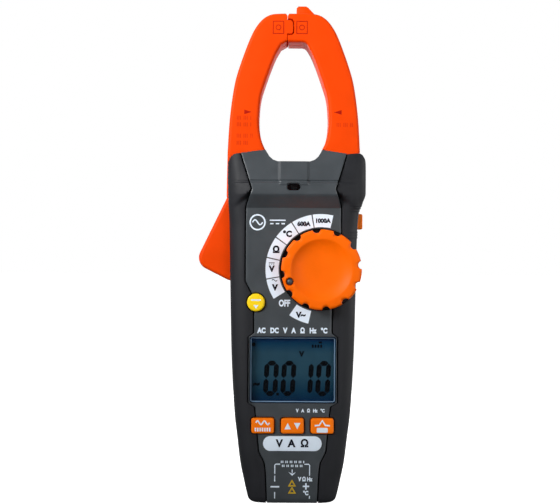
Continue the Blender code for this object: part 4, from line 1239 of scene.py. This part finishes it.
def make_button_signs():
    """A simple sign on each key and on the round button."""
    top = level_surface(0.08 - BUTTON_TOP)
    left, right, z = -BUTTON_PITCH, BUTTON_PITCH, BUTTON_Z
    shapes = line(wave((left - 3.6, z + 1.7), 0.4, 1.0, 4.5), 0.75)
    shapes += ticks(left - 4.2, left + 4.2, z - 2.9, 2.0, (0.8, 0.8), 0.45)
    piece(flat_piece("mode_sign", shapes, top), PALE_PRINT, "mode_key")
    shapes = [
        [(-4.2, z - 1.7), (-0.8, z - 1.7), (-2.5, z + 1.7)],
        [(0.8, z + 1.7), (4.2, z + 1.7), (2.5, z - 1.7)],
    ]
    piece(flat_piece("range_sign", shapes, top), PALE_PRINT, "range_key")
    peak = [(-4.0, 0.3), (-1.6, 0.5), (0, 3.0), (1.6, 0.5), (4.0, 0.3)]
    shapes = line([(right + u, z + v) for u, v in peak], 0.85)
    shapes.append(rounded_rectangle((right, z - 2.1), 5.8, 2.6, 0.5, 4))
    piece(flat_piece("peak_sign", shapes, top), PALE_PRINT, "peak_key")
    x, z = ROUND_BUTTON
    shapes = [[(x - 1.4, z - 1.3), (x, z - 3.3), (x + 1.4, z - 1.3)]]
    shapes += line([(x - 2.6, z + 1.3), (x + 2.6, z + 1.3)], 0.8)
    top = level_surface(0.05 - ROUND_BUTTON_TOP)
    piece(flat_piece("relative_sign", shapes, top), PALE_PRINT, "relative_key")


def raised_bars(rows):
    """Rows of small bars, each row a (start, end, height)."""
    bars = []
    for start, end, z in rows:
        bars += ticks(start, end, z, 2.2, (0.45, 0.45, 0.45, -0.6), 0.42)
    return bars


def make_jaw_marks():
    """Fine engraved marks on the jaws' front faces, drawn as thin shapes in a dark orange that paints the
    shade of their grooves, and rows of raised bars lower down in a darker orange that paints the shade along
    their edges.
    """
    surface = level_surface(JAW_HALF_DEPTH)
    for name, body, centre, tip, base in (
        ("left", "moving_jaw", -8.6, -22.6, -26.6), ("right", "housing", 4.0, 21.4, 25.4),
    ):
        left, right = centre - 3.0, centre + 3.0
        outline = [(left, 253.0), (right, 253.0), (right, 260.0), (left, 260.0)]
        shapes = [(outline, inset(outline, 0.4))] + ring_band((centre, 256.5), 1.3, 0.4, 24)
        shapes.append([(tip, 211.2), (base, 212.4), (base, 210.0)])
        # The engraved marks' dark orange is painted shade of their grooves.
        piece(flat_piece(f"jaw_marks_{name}", shapes, surface), ENGRAVING_SHADE, body)
    for name, body, rows in (
        ("left", "moving_jaw", [
            (-30.6, -22.6, 207.0), (-30.6, -22.6, 203.4), (-30.6, -22.0, 197.4), (-30.6, -24.6, 193.6),
        ]),
        ("right", "housing", [(22.8, 31.0, 203.4)]),
    ):
        bars = flat_piece(f"raised_bars_{name}", raised_bars(rows), surface, 0.08)
        # The raised bars' darker orange is painted shade along their edges.
        piece(bars, EMBOSSING_SHADE, body)


# ---------------- light and floor

def area_light(name, place, target, size, power, spread=180):
    """A rectangular lamp turned to a target, its light spread over an angle in degrees."""
    data = bpy.data.lights.new(name, "AREA")
    data.shape = "RECTANGLE"
    data.size, data.size_y = size
    data.energy = power
    data.spread = math.radians(spread)
    light = bpy.data.objects.new(name, data)
    SCENE.collection.objects.link(light)
    light.location = place
    light.rotation_euler = (Vector(target) - Vector(place)).to_track_quat("-Z", "Y").to_euler()


def make_world():
    """White where the camera sees it, and a soft sky that lights the object, fading downwards."""
    world = bpy.data.worlds.new("studio")
    SCENE.world = world
    world.use_nodes = True
    tree = world.node_tree
    tree.nodes.clear()
    seen = add_node(tree, "ShaderNodeBackground", Color=(1, 1, 1, 1), Strength=1.0)
    way = add_node(tree, "ShaderNodeTexCoord").outputs["Generated"]
    split = add_node(tree, "ShaderNodeSeparateXYZ", Vector=way)
    strength = mapped(tree, split.outputs["Z"], 0.1, 0.31, -0.7, 0.8)
    soft = add_node(tree, "ShaderNodeBackground", Color=(0.96, 0.98, 1, 1), Strength=strength)
    path = add_node(tree, "ShaderNodeLightPath")
    mix = add_node(tree, "ShaderNodeMixShader", Fac=path.outputs["Is Camera Ray"])
    tree.links.new(soft.outputs[0], mix.inputs[1])
    tree.links.new(seen.outputs[0], mix.inputs[2])
    add_node(tree, "ShaderNodeOutputWorld", Surface=mix.outputs[0])


def make_lights():
    middle = (0, 0, 0.14)
    neck = (0, 0, 0.22)
    jaws = (0, 0, 0.24)
    area_light("key", (-0.55, -0.5, 0.5), jaws, (0.35, 0.35), 0.64, 38)
    area_light("fill", (0.5, -0.7, 0.2), jaws, (0.4, 0.6), 0.34, 60)
    area_light("side", (0.75, 0.08, 0.22), middle, (0.4, 0.6), 2.6)
    area_light("back", (0, 0.5, 0.1), neck, (0.8, 0.5), 1.9)


def make_floor():
    """A wide glowing floor under the object, which doesn't light it."""
    reach = 6000
    square = ((-reach, -reach), (reach, -reach), (reach, reach), (-reach, reach))
    corners = [(x, y, LOWER_END) for x, y in square]
    floor = new_object("floor", corners, [(0, 1, 2, 3)])
    material = moulded("studio_floor", (0.9, 0.9, 0.9), 0.9, grain=2.0, bump=0.01, mottle=0.01, specular=0.0)
    shader = material.node_tree.nodes["Principled BSDF"]
    set_inputs(shader, Emission_Color=(1, 1, 1, 1), Emission_Strength=0.95)
    floor.visible_diffuse = False
    floor.visible_glossy = False
    floor.data.materials.append(material)
    TOOLS.objects.unlink(floor)
    SCENE.collection.objects.link(floor)


dress_frame()
TOOL_SET = make_cutters()
make_case(TOOL_SET)
make_battery_cover()
make_jaws()
make_selector()
make_buttons()
make_display()
make_prints()
make_button_signs()
make_jaw_marks()
for leftover in list(TOOLS.objects):
    bpy.data.objects.remove(leftover)
make_world()
make_lights()
make_floor()
